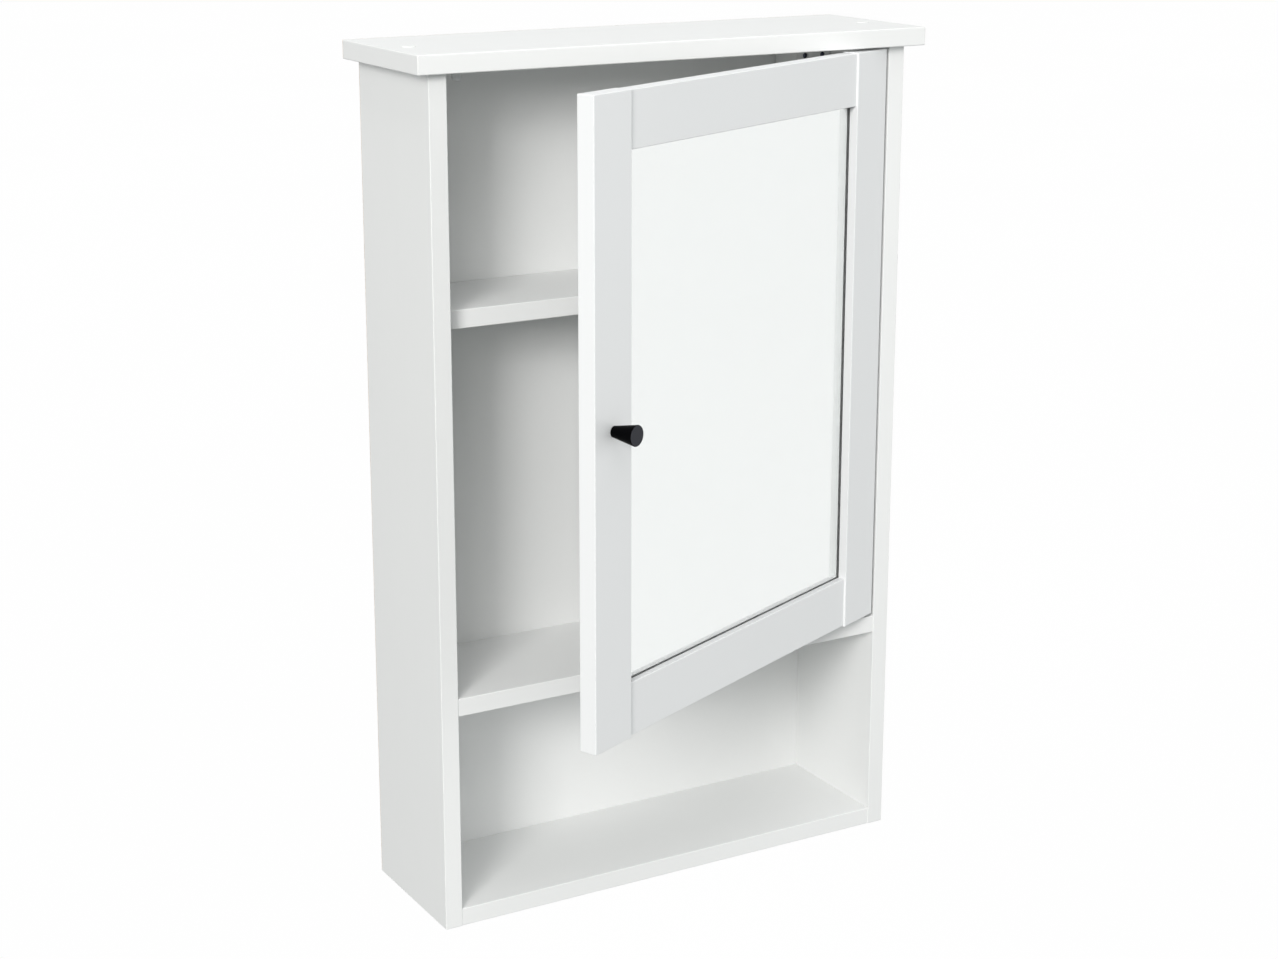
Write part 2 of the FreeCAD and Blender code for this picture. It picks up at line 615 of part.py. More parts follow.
def knob_screw():
    crown = DOOR_BACK + KNOB_SCREW_HEAD
    tip = (KNOB_X, DOOR_FRONT - KNOB_SCREW_BITE, KNOB_Z)
    shank = rod(tip, BACKWARD, KNOB_SCREW_R, BOARD + KNOB_SCREW_BITE)
    head = rod((KNOB_X, DOOR_BACK, KNOB_Z), BACKWARD, KNOB_SCREW_HEAD_R, KNOB_SCREW_HEAD)
    head = head.makeFillet(0.9, [e for e in head.Edges if near(e.CenterOfMass.y, crown)])
    span = (crown - KNOB_SCREW_HEAD / 2, crown + OVER)
    slots = cross_slots((KNOB_X, crown, KNOB_Z), Y_AXIS, 2.2, 0.45, span)
    return cut_all(head.fuse(shank), slots)


# ---- concealed hinges: the two links and the pivots form a parallelogram about the door's axis ----
def plan(inward, back):
    """A plan position from the right side panel's inner face and the front edges."""
    return Vector(INNER - inward, FRONT + back, 0)


DOOR_AXIS = plan(PIVOT_IN, PIVOT_BACK)
ARM_AXIS = plan(*ARM_PIVOT)
CUP_AXIS = plan(*CUP_PIVOT)
KNEE_AXIS = ARM_AXIS + CUP_AXIS - DOOR_AXIS
PIN_HALF = LINK_CORE + CHEEK_GAP + CHEEK
CHEEK_WIDTH = 5.6
INNER_EYE_R = 3.5
FLANGE_X = (CUP_X - 15.0, CUP_X + 9.0)
FLANGE_MARGIN = 6.0
FLANGE_CORNER = 4.5
CUP_RIM = 2.0


def at_level(point, z):
    return (point.x, point.y, z)


def bar(start, end, radius, web, low, high):
    """Two round eyes joined by a flat web."""
    reach = end - start
    eyes = [rod(at_level(p, low), UP, radius, high - low) for p in (start, end)]
    across = Vector(-reach.y, reach.x, 0).normalize() * (web / 2)
    corners = [start + across, end + across, end - across, start - across]
    corners = [Vector(p.x, p.y, low) for p in corners]
    plate = Part.Face(Part.makePolygon(corners + corners[:1])).extrude(UP * (high - low))
    return plate.fuse(eyes).removeSplitter()


def hinge_cup(level):
    floor_y = DOOR_BACK - CUP_DEPTH
    cup = rod((CUP_X, floor_y, level), BACKWARD, CUP_R - FIT, CUP_DEPTH)
    reach = CUP_SCREW_Z + FLANGE_MARGIN
    flange = box(FLANGE_X, (DOOR_BACK, DOOR_BACK + FLANGE), (level - reach, level + reach))
    flange = soften(flange, FLANGE_CORNER, lambda p: near(p.y, DOOR_BACK + FLANGE / 2))
    rim = rod((CUP_X, DOOR_BACK, level), BACKWARD, CUP_R + CUP_RIM, FLANGE)
    hollow = rod((CUP_X, floor_y + CUP_WALL, level), BACKWARD, CUP_R - CUP_WALL, CUP_DEPTH + 2 * OVER)
    tools = [hollow, rod(at_level(CUP_AXIS, level - CUP_R), UP, PIN_R, 2 * CUP_R)]
    for offset in (-CUP_SCREW_Z, CUP_SCREW_Z):
        start = (CUP_SCREW_X, DOOR_BACK - OVER, level + offset)
        tools.append(rod(start, BACKWARD, HINGE_SCREW_R + FIT, FLANGE + 2 * OVER))
    return cut_all(cup.fuse([flange, rim]), tools)


def cup_pins():
    chord = math.sqrt((CUP_R - 0.5) ** 2 - (CUP_AXIS.x - CUP_X) ** 2)
    return group([rod(at_level(CUP_AXIS, z - chord), UP, PIN_R, 2 * chord) for z in HINGE_LEVELS.values()])


def cup_screws():
    screws = []
    for level in HINGE_LEVELS.values():
        for offset in (-CUP_SCREW_Z, CUP_SCREW_Z):
            place = (CUP_SCREW_X, DOOR_BACK + FLANGE, level + offset)
            head = cone(place, BACKWARD, 3.6, 2.6, CUP_SCREW_HEAD)
            tip = (CUP_SCREW_X, DOOR_BACK - CUP_SCREW_BITE, level + offset)
            shank = rod(tip, BACKWARD, HINGE_SCREW_R, CUP_SCREW_BITE + FLANGE)
            crown = place[1] + CUP_SCREW_HEAD
            slots = cross_slots(place, Y_AXIS, 1.8, 0.35, (crown - 0.6, crown + OVER))
            screws.append(cut_all(head.fuse(shank), slots))
    return group(screws)


def outer_link(level):
    cheeks = []
    for low in (level + LINK_CORE + CHEEK_GAP, level - LINK_CORE - CHEEK_GAP - CHEEK):
        cheek = bar(ARM_AXIS, KNEE_AXIS, EYE_R, CHEEK_WIDTH, low, low + CHEEK)
        cheek = cheek.cut(rod(at_level(ARM_AXIS, low - OVER), UP, PIN_R + PIN_FIT, CHEEK + 2 * OVER))
        cheeks.append(cheek.cut(rod(at_level(KNEE_AXIS, low - OVER), UP, PIN_R, CHEEK + 2 * OVER)))
    return group(cheeks)


def inner_link(level):
    link = bar(KNEE_AXIS, CUP_AXIS, INNER_EYE_R, LINK_WEB, level - LINK_CORE, level + LINK_CORE)
    start, length = level - LINK_CORE - OVER, 2 * (LINK_CORE + OVER)
    link = link.cut(rod(at_level(KNEE_AXIS, start), UP, PIN_R + PIN_FIT, length))
    return link.cut(rod(at_level(CUP_AXIS, start), UP, PIN_R + OPEN_PIVOT_FIT, length))


def pins_at(axis):
    return group([rod(at_level(axis, z - PIN_HALF), UP, PIN_R, 2 * PIN_HALF) for z in HINGE_LEVELS.values()])


ARM_BACK = 84.0              # the arm's rear end, behind the front edges
ARM_LOW = 12.0               # its faces, from the side panel
ARM_HIGH = 19.0
ARM_NECK = 4.0
ARM_WALL = 1.6
ARM_LIP = 6.0                # solid length behind the neck
ARM_SCREW_BACK = 72.0
ARM_SCREW_R = 2.0
ARM_SCREW_HEAD = 1.8
ARM_SCREW_BITE = 14.0
SEAT_THICK = 2.0


def hinge_arm(level):
    """A straight channel from the mounting plate to the eye that carries the outer link."""
    low = level - LINK_CORE
    high = level + LINK_CORE
    eye = rod(at_level(ARM_AXIS, low), UP, EYE_R, high - low)
    rear = plan(ARM_LOW, ARM_BACK)
    near_eye = plan(ARM_HIGH, ARM_PIVOT[1] + ARM_NECK)
    beam = box((rear.x, near_eye.x), (near_eye.y, rear.y), (low, high))
    neck = box((ARM_AXIS.x - 2.5, ARM_AXIS.x + EYE_R), (ARM_AXIS.y, near_eye.y + OVER), (low, high))
    arm = beam.fuse([eye, neck]).removeSplitter()
    channel = box((rear.x + OVER, near_eye.x + ARM_WALL), (near_eye.y + ARM_LIP, rear.y + OVER),
                  (low + ARM_WALL, high - ARM_WALL))
    screw = rod((near_eye.x - OVER, FRONT + ARM_SCREW_BACK, level), RIGHT, ARM_SCREW_R + END_PLAY, ARM_LOW)
    pin = rod(at_level(ARM_AXIS, low - OVER), UP, PIN_R, high - low + 2 * OVER)
    return cut_all(arm, [channel, screw, pin])


def hinge_plate(level):
    """A cross-shaped mounting plate: wings for two screws and a raised seat for the arm."""
    flat = (INNER - SEAT_THICK, INNER)
    base = box(flat, (FRONT + 46, FRONT + 80), (level - 10, level + 10))
    wings = box(flat, (FRONT + 51, FRONT + 63), (level - 23, level + 23))
    wings = soften(wings, 4.0, lambda p: near(p.x, INNER - SEAT_THICK / 2))
    seat = box((INNER - ARM_LOW, INNER), (FRONT + 48, FRONT + 79), (level - 6, level + 6))
    tapping = (INNER - ARM_LOW - OVER, FRONT + ARM_SCREW_BACK, level)
    tools = [rod(tapping, RIGHT, ARM_SCREW_R + FIT, ARM_LOW - SEAT_THICK + OVER)]
    for offset in HINGE_SCREW_OFFSETS:
        start = (INNER - SEAT_THICK - OVER, FRONT + PLATE_SCREW_BACK, level + offset)
        tools.append(rod(start, RIGHT, HINGE_SCREW_R + FIT, SEAT_THICK + 2 * OVER))
    return cut_all(base.fuse([wings, seat]).removeSplitter(), tools)


def plate_screws():
    screws = []
    for level in HINGE_LEVELS.values():
        for offset in HINGE_SCREW_OFFSETS:
            y = FRONT + PLATE_SCREW_BACK
            seat = INNER - SEAT_THICK
            head = cone((seat - ARM_SCREW_HEAD, y, level + offset), RIGHT, 2.6, 3.8, ARM_SCREW_HEAD)
            shank = rod((seat, y, level + offset), RIGHT, HINGE_SCREW_R, SEAT_THICK + HINGE_SCREW_BITE)
            screws.append(head.fuse(shank))
    return group(screws)


def arm_screws():
    screws = []
    for level in HINGE_LEVELS.values():
        y = FRONT + ARM_SCREW_BACK
        face = INNER - ARM_HIGH
        head = rod((face - ARM_SCREW_HEAD, y, level), RIGHT, 3.6, ARM_SCREW_HEAD)
        shank = rod((face, y, level), RIGHT, ARM_SCREW_R, ARM_SCREW_BITE)
        slots = cross_slots((face, y, level), X_AXIS, 2.2, 0.4, (face - 2 * ARM_SCREW_HEAD, face - 0.8))
        screws.append(cut_all(head.fuse(shank), slots))
    return group(screws)


def carcass_pieces():
    pieces = {"top_board": top_board(), "middle_shelf": middle_shelf(), "back_panel": back_panel(),
              "bottom_board": joined_board(JOINED_BOARDS["bottom"], 0, True),
              "fixed_shelf": joined_board(JOINED_BOARDS["fixed"], BACK_FACE - 0.1, False),
              "panel_dowels": panel_dowels(), "cam_locks": cam_locks(), "cam_bolts": cam_bolts(),
              "top_screws": top_screws(), "shelf_pins": shelf_pins(), "door_stop": door_stop(),
              "hanger_adjusting_screws": hanger_adjusters(), "hanger_fixing_screws": hanger_fixing_screws(),
              "hinge_plate_screws": plate_screws(), "hinge_arm_screws": arm_screws(),
              "hinge_arm_pins": pins_at(ARM_AXIS)}
    for name, sign in SIDES.items():
        pieces["side_panel_" + name] = side_panel(sign)
        pieces["cover_cap_" + name] = cover_cap(sign)
        pieces["hanger_housing_" + name] = hanger_housing(sign)
        pieces["hanger_hook_" + name] = hanger_hook(sign)
        pieces["wall_plate_" + name] = wall_plate(sign)
    for name, level in HINGE_LEVELS.items():
        pieces["hinge_arm_" + name] = hinge_arm(level)
        pieces["hinge_plate_" + name] = hinge_plate(level)
    return pieces


def door_pieces():
    pieces = {"mirror_glass": pane(GLASS_FRONT, GLASS), "mirror_backing": pane(BACKING_FRONT, BACKING),
              "frame_dowels": frame_dowels(), "door_knob": door_knob(), "knob_screw": knob_screw(),
              "hinge_cup_pins": cup_pins(), "hinge_cup_screws": cup_screws()}
    for name, sign in SIDES.items():
        pieces["door_stile_" + name] = door_stile(sign)
    for name in RAIL_RANGES:
        pieces["door_rail_" + name] = door_rail(name)
    for name in list(SIDES) + list(RAIL_RANGES):
        pieces["backing_bead_" + name] = backing_bead(name)
    for name, level in HINGE_LEVELS.items():
        pieces["hinge_cup_" + name] = hinge_cup(level)
    return pieces


def outer_link_pieces():
    pieces = {"hinge_outer_link_" + name: outer_link(level) for name, level in HINGE_LEVELS.items()}
    pieces["hinge_knee_pins"] = pins_at(KNEE_AXIS)
    return pieces


def inner_link_pieces():
    return {"hinge_inner_link_" + name: inner_link(level) for name, level in HINGE_LEVELS.items()}


def turned(centre, angle):
    return Placement(Vector(0, 0, 0), Rotation(UP, angle), centre)


def save_all(pieces, placement):
    for name, shape in pieces.items():
        moved = shape.copy()
        moved.Placement = placement.multiply(moved.Placement)
        save(name, moved)


def knee_shift():
    """The inner links keep their heading while the knee travels with the outer links."""
    swing = turned(ARM_AXIS, OPEN_ANGLE)
    return Placement(swing.multVec(KNEE_AXIS) - KNEE_AXIS, Rotation())


os.makedirs("parts", exist_ok=True)
save_all(carcass_pieces(), Placement())
save_all(door_pieces(), turned(DOOR_AXIS, OPEN_ANGLE))
save_all(outer_link_pieces(), turned(ARM_AXIS, OPEN_ANGLE))
save_all(inner_link_pieces(), knee_shift())

for label, point in (("door axis", DOOR_AXIS), ("arm axis", ARM_AXIS),
                     ("knee axis", turned(ARM_AXIS, OPEN_ANGLE).multVec(KNEE_AXIS))):
    print(label, round(point.x, 4), round(point.y, 4))
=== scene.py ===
import json
import math

import bmesh
import bpy
from bpy.props import FloatProperty, FloatVectorProperty, IntProperty, PointerProperty
from bpy.types import Operator, Panel, PropertyGroup
from mathutils import Matrix, Vector


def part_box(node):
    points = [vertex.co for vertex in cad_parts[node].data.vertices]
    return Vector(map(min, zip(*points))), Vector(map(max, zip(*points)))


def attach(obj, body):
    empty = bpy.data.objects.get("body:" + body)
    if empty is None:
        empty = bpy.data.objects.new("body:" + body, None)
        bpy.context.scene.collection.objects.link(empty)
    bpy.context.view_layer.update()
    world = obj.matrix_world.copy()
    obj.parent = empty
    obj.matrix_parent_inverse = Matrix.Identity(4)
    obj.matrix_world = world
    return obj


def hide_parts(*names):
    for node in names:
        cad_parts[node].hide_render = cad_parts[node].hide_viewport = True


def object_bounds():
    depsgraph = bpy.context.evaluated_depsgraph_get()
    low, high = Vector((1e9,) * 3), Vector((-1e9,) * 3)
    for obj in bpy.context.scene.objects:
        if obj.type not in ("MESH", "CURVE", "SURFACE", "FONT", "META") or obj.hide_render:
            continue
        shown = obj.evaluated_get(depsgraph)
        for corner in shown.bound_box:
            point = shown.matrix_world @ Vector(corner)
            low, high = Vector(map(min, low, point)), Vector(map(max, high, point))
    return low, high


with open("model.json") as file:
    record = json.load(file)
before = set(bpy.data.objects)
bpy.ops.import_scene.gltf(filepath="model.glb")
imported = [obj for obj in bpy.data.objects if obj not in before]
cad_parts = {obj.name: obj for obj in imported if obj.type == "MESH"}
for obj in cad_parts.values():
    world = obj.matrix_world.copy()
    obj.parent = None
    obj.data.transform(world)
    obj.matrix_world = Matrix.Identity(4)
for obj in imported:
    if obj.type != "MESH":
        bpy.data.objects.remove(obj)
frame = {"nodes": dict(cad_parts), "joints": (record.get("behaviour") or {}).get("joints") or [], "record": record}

bl_info = {
    "name": "Medicine cabinet with mirror",
    "version": (1, 0, 0),
    "blender": (4, 5, 0),
    "location": "View3D > Sidebar > Cabinet",
    "description": "Finishes a wall-hung mirrored cabinet: boards, door, mirror, knob, hinges and hangers",
    "category": "Object",
}

CAD_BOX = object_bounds()
MM = 0.001
FORWARD, UP = Vector((0, -1, 0)), Vector((0, 0, 1))
SIDES = ("left", "right")
LEVELS = ("upper", "lower")

# ---- how the door stands: its parts are made shut and then turned open about the hinge axis ----
JOINTS = {joint["name"]: joint for joint in frame["joints"]}
DOOR_AXIS = Vector(JOINTS["door_swing"]["pos_m"])
OPENING = -math.radians(JOINTS["door_swing"]["range_deg"][0])
DOOR_TURN = Matrix.Translation(DOOR_AXIS) @ Matrix.Rotation(OPENING, 4, "Z") @ Matrix.Translation(-DOOR_AXIS)


def corners(points):
    """Lowest and highest corners of the box round some points."""
    return Vector(map(min, zip(*points))), Vector(map(max, zip(*points)))


def shut_box(node):
    """Corners of a door node as they lie with the door shut, square to the axes."""
    back = DOOR_TURN.inverted()
    return corners([back @ vertex.co for vertex in frame["nodes"][node].data.vertices])


# ---- settings ----
class BoardSettings(PropertyGroup):
    foil: FloatVectorProperty(name="Foil", description="Colour of the white foil on the boards",
                              subtype="COLOR", default=(0.80, 0.808, 0.803), min=0, max=1)
    paint: FloatVectorProperty(name="Door paint", description="Colour of the painted door frame",
                               subtype="COLOR", default=(0.80, 0.81, 0.815), min=0, max=1)
    grain_depth: FloatProperty(name="Grain depth", description="Height of the foil's embossed grain",
                               unit="LENGTH", default=0.03 * MM, min=0)
    joint_line: FloatProperty(name="Joint line", description="Width of the line between board and edge band",
                              unit="LENGTH", default=0.25 * MM, min=0)
    band: FloatProperty(name="Edge band", description="Thickness of the edge band on the boards' front edges",
                        unit="LENGTH", default=1.0 * MM, min=0)


class MirrorSettings(PropertyGroup):
    silver: FloatVectorProperty(name="Silver", description="Colour of the silver layer",
                                subtype="COLOR", default=(0.945, 0.95, 0.948), min=0, max=1)
    silver_thickness: FloatProperty(name="Silver layer", description="Thickness of the silver with its paint",
                                    unit="LENGTH", default=0.15 * MM, min=0)
    arris: FloatProperty(name="Arris", description="Width of the ground arris round the glass",
                         unit="LENGTH", default=0.5 * MM, min=0)
    refraction: FloatProperty(name="Refraction", description="Refractive index of the glass",
                              default=1.52, min=1)


class KnobSettings(PropertyGroup):
    lacquer: FloatVectorProperty(name="Lacquer", description="Colour of the knob's black lacquer",
                                 subtype="COLOR", default=(0.0012, 0.0012, 0.0016), min=0, max=1)
    # painted reflection: this face colour is lighter than the lacquer to stand in for the white surroundings that
    # the flat face mirrors
    face: FloatVectorProperty(name="Face", description="Colour of the knob's flat turned face",
                              subtype="COLOR", default=(0.049, 0.050, 0.057), min=0, max=1)
    foot: FloatProperty(name="Foot", description="The foot's radius as a share of the face's",
                        subtype="FACTOR", default=0.53, min=0.1, max=1)
    relief: FloatProperty(name="Relief", description="Height of the small step round the foot",
                          unit="LENGTH", default=0.4 * MM, min=0)
    bevel: FloatProperty(name="Bevel", description="Width of the rounded edge of the face",
                         unit="LENGTH", default=0.9 * MM, min=0)
    steps: IntProperty(name="Steps", description="Steps round the knob", default=96, min=12)


class HardwareSettings(PropertyGroup):
    plastic: FloatVectorProperty(name="White plastic", description="Colour of the caps and hanger housings",
                                 subtype="COLOR", default=(0.80, 0.81, 0.80), min=0, max=1)
    nickel: FloatVectorProperty(name="Nickel", description="Colour of the pressed and plated parts",
                                subtype="COLOR", default=(0.60, 0.585, 0.555), min=0, max=1)
    zinc: FloatVectorProperty(name="Zinc", description="Colour of the plated screws",
                              subtype="COLOR", default=(0.60, 0.62, 0.65), min=0, max=1)
    edge: FloatProperty(name="Edge", description="Rounding of pressed and moulded edges",
                        unit="LENGTH", default=0.3 * MM, min=0)
    fine_edge: FloatProperty(name="Fine edge", description="Rounding of cams and shelf pins",
                             unit="LENGTH", default=0.15 * MM, min=0)
    dish: FloatProperty(name="Dish", description="Depth of the dished middle of a cover cap",
                        unit="LENGTH", default=0.18 * MM, min=0)
    steps: IntProperty(name="Steps", description="Steps round a screw, cap or peg", default=40, min=12)


class StageSettings(PropertyGroup):
    eye: FloatVectorProperty(name="Eye", description="Where the camera stands", subtype="TRANSLATION",
                             unit="LENGTH", default=(-1.1501, -2.0637, 0.2894))
    yaw: FloatProperty(name="Yaw", description="The camera's turn to the right of straight ahead",
                       unit="ROTATION", default=math.radians(29.73))
    pitch: FloatProperty(name="Pitch", description="The camera's tilt downwards",
                         unit="ROTATION", default=math.radians(14.84))
    lens: FloatProperty(name="Lens", description="Focal length in millimetres", default=66.44, min=10)
    shift_x: FloatProperty(name="Shift X", description="Sideways shift of the lens", default=0.0109)
    shift_y: FloatProperty(name="Shift Y", description="Upward shift of the lens", default=-0.04)
    floor_drop: FloatProperty(name="Floor drop", description="From the cabinet's underside to the floor",
                              unit="LENGTH", default=1.15, min=0)
    floor_radius: FloatProperty(name="Floor radius", description="Size of the round floor",
                                unit="LENGTH", default=45.0, min=1)
    surroundings: FloatProperty(name="Surroundings", description="Brightness of the surroundings as seen",
                                default=1.0, min=0)
    ambient: FloatProperty(name="Ambient", description="Share of the surroundings that lights the cabinet",
                           default=0.315, min=0)
    ambient_tint: FloatVectorProperty(name="Ambient tint", description="Colour of that light",
                                      subtype="COLOR", default=(0.955, 1.0, 0.995), min=0, max=1)


SETTINGS = {"board": BoardSettings, "mirror": MirrorSettings, "knob": KnobSettings,
            "hardware": HardwareSettings, "stage": StageSettings}


def settings(name):
    return getattr(bpy.context.scene, "cabinet_" + name)


# ---- shader arithmetic ----
def math_node(operation, swapped=False):
    """A method that adds a Math node on a shade and other values, which come first when swapped."""
    def method(shade, *others):
        values = (*others, shade) if swapped else (shade, *others)
        return shade.finish.node("Math", {"operation": operation}, dict(enumerate(values)))
    return method


class Shade:
    """A shader socket that can be used in Python arithmetic."""

    def __init__(self, finish, socket):
        self.finish, self.socket = finish, socket

    __add__ = math_node("ADD")
    __radd__ = math_node("ADD", swapped=True)
    __sub__ = math_node("SUBTRACT")
    __rsub__ = math_node("SUBTRACT", swapped=True)
    __mul__ = math_node("MULTIPLY")
    __rmul__ = math_node("MULTIPLY", swapped=True)
    __gt__ = math_node("GREATER_THAN")
    __lt__ = math_node("LESS_THAN")
    __abs__ = math_node("ABSOLUTE")
    sine = math_node("SINE")
    least = math_node("MINIMUM")
    most = math_node("MAXIMUM")


class Finish:
    """A procedural material on Object coordinates round one Principled shader."""

    def __init__(self, name, constants):
        self.material = bpy.data.materials.new(name)
        self.material.use_nodes = True
        self.tree = self.material.node_tree
        self.shader = self.tree.nodes["Principled BSDF"]
        for socket, value in constants.items():
            self.shader.inputs[socket].default_value = value
        self.place = self.node("TexCoord", output="Object")

    def feed(self, socket, value):
        """Link a shade to a socket, or set the socket to a number, a vector or a colour."""
        if isinstance(value, Shade):
            self.tree.links.new(value.socket, socket)
        else:
            wide = hasattr(socket.default_value, "__len__") and len(socket.default_value) == 4
            socket.default_value = (*value, 1.0) if wide and len(value) == 3 else value

    def node(self, kind, options=None, sockets=None, output=0):
        """Any node: its options are set first, then the values or links of its sockets."""
        node = self.tree.nodes.new("ShaderNode" + kind)
        for name, value in (options or {}).items():
            setattr(node, name, value)
        for key, value in (sockets or {}).items():
            self.feed(node.inputs[key], value)
        return Shade(self, node.outputs[output])

    def axes(self):
        """The X, Y and Z of the place on the surface."""
        split = self.node("SeparateXYZ", sockets={0: self.place}).socket.node
        return [Shade(self, split.outputs[i]) for i in range(3)]

    def stretched(self, stretch):
        """The place drawn out along an axis where stretch is under one."""
        return self.node("VectorMath", {"operation": "MULTIPLY"}, {0: self.place, 1: stretch})

    def noise(self, scale, detail=2.0, roughness=0.5, stretch=(1, 1, 1), distortion=0.0):
        """Noise of about that many bumps a metre."""
        return self.node("TexNoise", {"normalize": True},
                         {"Vector": self.stretched(stretch), "Scale": scale, "Detail": detail,
                          "Roughness": roughness, "Distortion": distortion})

    def mix(self, factor, colour_a, colour_b):
        return self.node("Mix", {"data_type": "RGBA"}, {0: factor, 6: colour_a, 7: colour_b}, output=2)

    def between(self, factor, low, high):
        """A factor of 0 to 1 spread from low to high."""
        return self.node("MapRange", {}, {0: factor, 1: 0.0, 2: 1.0, 3: low, 4: high})

    def done(self, colour, roughness, height, strength, distance):
        """Feed the shader a colour, a roughness and a relief, and give its material."""
        relief = self.node("Bump", {}, {"Height": height, "Strength": strength, "Distance": distance})
        self.feed(self.shader.inputs["Base Color"], colour)
        self.feed(self.shader.inputs["Roughness"], roughness)
        self.feed(self.shader.inputs["Normal"], relief)
        return self.material


def scaled(colour, factor):
    return tuple(channel * factor for channel in colour)


def along_axis(axis, share):
    """A stretch for grain that runs along one axis."""
    stretch = [1.0, 1.0, 1.0]
    stretch[axis] = share
    return stretch


# ---- finishes ----
CHIP_LIGHT, CHIP_DARK = (0.66, 0.50, 0.32), (0.36, 0.235, 0.125)
FIBRE_LIGHT, FIBRE_DARK = (0.36, 0.225, 0.125), (0.21, 0.12, 0.065)
BEECH_LIGHT, BEECH_DARK, BEECH_FLECK = (0.70, 0.53, 0.34), (0.60, 0.42, 0.25), (0.40, 0.24, 0.13)
GLASS_FACE, GLASS_GROUND = (0.985, 0.995, 0.99), (0.62, 0.80, 0.74)
DARK_ZINC = (0.115, 0.125, 0.155)
MILKY = (0.84, 0.86, 0.86)
DUST = (0.05, 0.05, 0.055)
GLUE_DARK = (0.60, 0.60, 0.57)
SKIN = 1.3 * MM              # a surface deeper than this inside a board is the wall of a hole
REAR_EDGE = -0.5 * MM        # the boards' edges past this level lie on the wall
REAR_SKIN = 0.3 * MM         # the white face of the back panel ends this far before its rear
# the knob's face past this level takes a painted reflection of the white surroundings
FACE_SKIN = 0.12 * MM        # the turned face of the knob, with the end of its rounded edge
SCREEN_PITCH = 1.7 * MM      # the wire screen that a hardboard is pressed on marks its rear


def joint_lines(place, low, high, bands):
    """Fine lines where each edge band meets its board. A band is an axis and its side, -1 or 1."""
    board = settings("board")
    line = None
    for axis, side in bands:
        edge = high[axis] - board.band if side > 0 else low[axis] + board.band
        mark = abs(place[axis] - edge) < board.joint_line / 2
        line = mark if line is None else line.most(mark)
    return line


def depth_inside(place, low, high):
    """How far the surface lies inside the box, which is nothing on its six faces."""
    depth = None
    for axis, coordinate in enumerate(place):
        nearest = (coordinate - low[axis]).least(high[axis] - coordinate)
        depth = nearest if depth is None else depth.least(nearest)
    return depth


def foil_finish(node, grain_axis, bands):
    """White foil with a faint embossed grain; raw chipboard shows at the rear edge and inside the holes."""
    board = settings("board")
    low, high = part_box(node)
    finish = Finish("white_foil_" + node, {"Specular IOR Level": 0.42})
    stretch = along_axis(grain_axis, 0.035)
    grain = finish.noise(950.0, 4.0, 0.62, stretch, 0.2)
    cloud = finish.noise(9.0, 3.0, 0.55)
    streak = finish.noise(60.0, 2.0, 0.5, stretch)
    place = finish.axes()
    line = joint_lines(place, low, high, bands)
    foil = finish.mix(finish.between(cloud, 0.0, 1.0), scaled(board.foil, 0.985), scaled(board.foil, 1.015))
    foil = finish.mix(finish.between(streak, -0.25, 0.25), foil, scaled(board.foil, 0.965))
    foil = finish.mix(line * 0.35, foil, GLUE_DARK)
    chips = finish.node("TexVoronoi", {"feature": "F1"},
                        {"Vector": finish.stretched((1.0, 1.0, 0.55)), "Scale": 420.0, "Randomness": 1.0},
                        output="Color")
    tone = finish.node("SeparateColor", sockets={0: chips})
    fine = finish.noise(1800.0, 3.0, 0.6)
    chip = finish.mix(finish.between(tone, 0.0, 1.0), CHIP_DARK, CHIP_LIGHT)
    chip = finish.mix(finish.between(fine, 0.0, 0.5), chip, CHIP_LIGHT)
    raw = (depth_inside(place, low, high) > SKIN).most(place[1] > REAR_EDGE)
    roughness = finish.between(grain, 0.34, 0.46) + finish.between(cloud, -0.03, 0.03) + raw * 0.4
    height = grain * (1 - raw) + (tone + fine) * raw * 3.0 - line
    return finish.done(finish.mix(raw, foil, chip), roughness, height, 0.35, board.grain_depth)


def paint_finish(node):
    """Sprayed satin paint with a light orange peel."""
    board = settings("board")
    finish = Finish("door_paint_" + node, {"Specular IOR Level": 0.45})
    peel = finish.noise(380.0, 2.0, 0.45)
    fine = finish.noise(2200.0, 2.0, 0.5)
    cloud = finish.noise(7.0, 3.0, 0.5)
    colour = finish.mix(cloud, scaled(board.paint, 0.985), scaled(board.paint, 1.01))
    colour = finish.mix(finish.between(fine, -0.1, 0.14), colour, scaled(board.paint, 0.95))
    roughness = finish.between(peel, 0.30, 0.40) + finish.between(cloud, -0.03, 0.03)
    return finish.done(colour, roughness, peel + fine * 0.4, 0.25, 0.05 * MM)


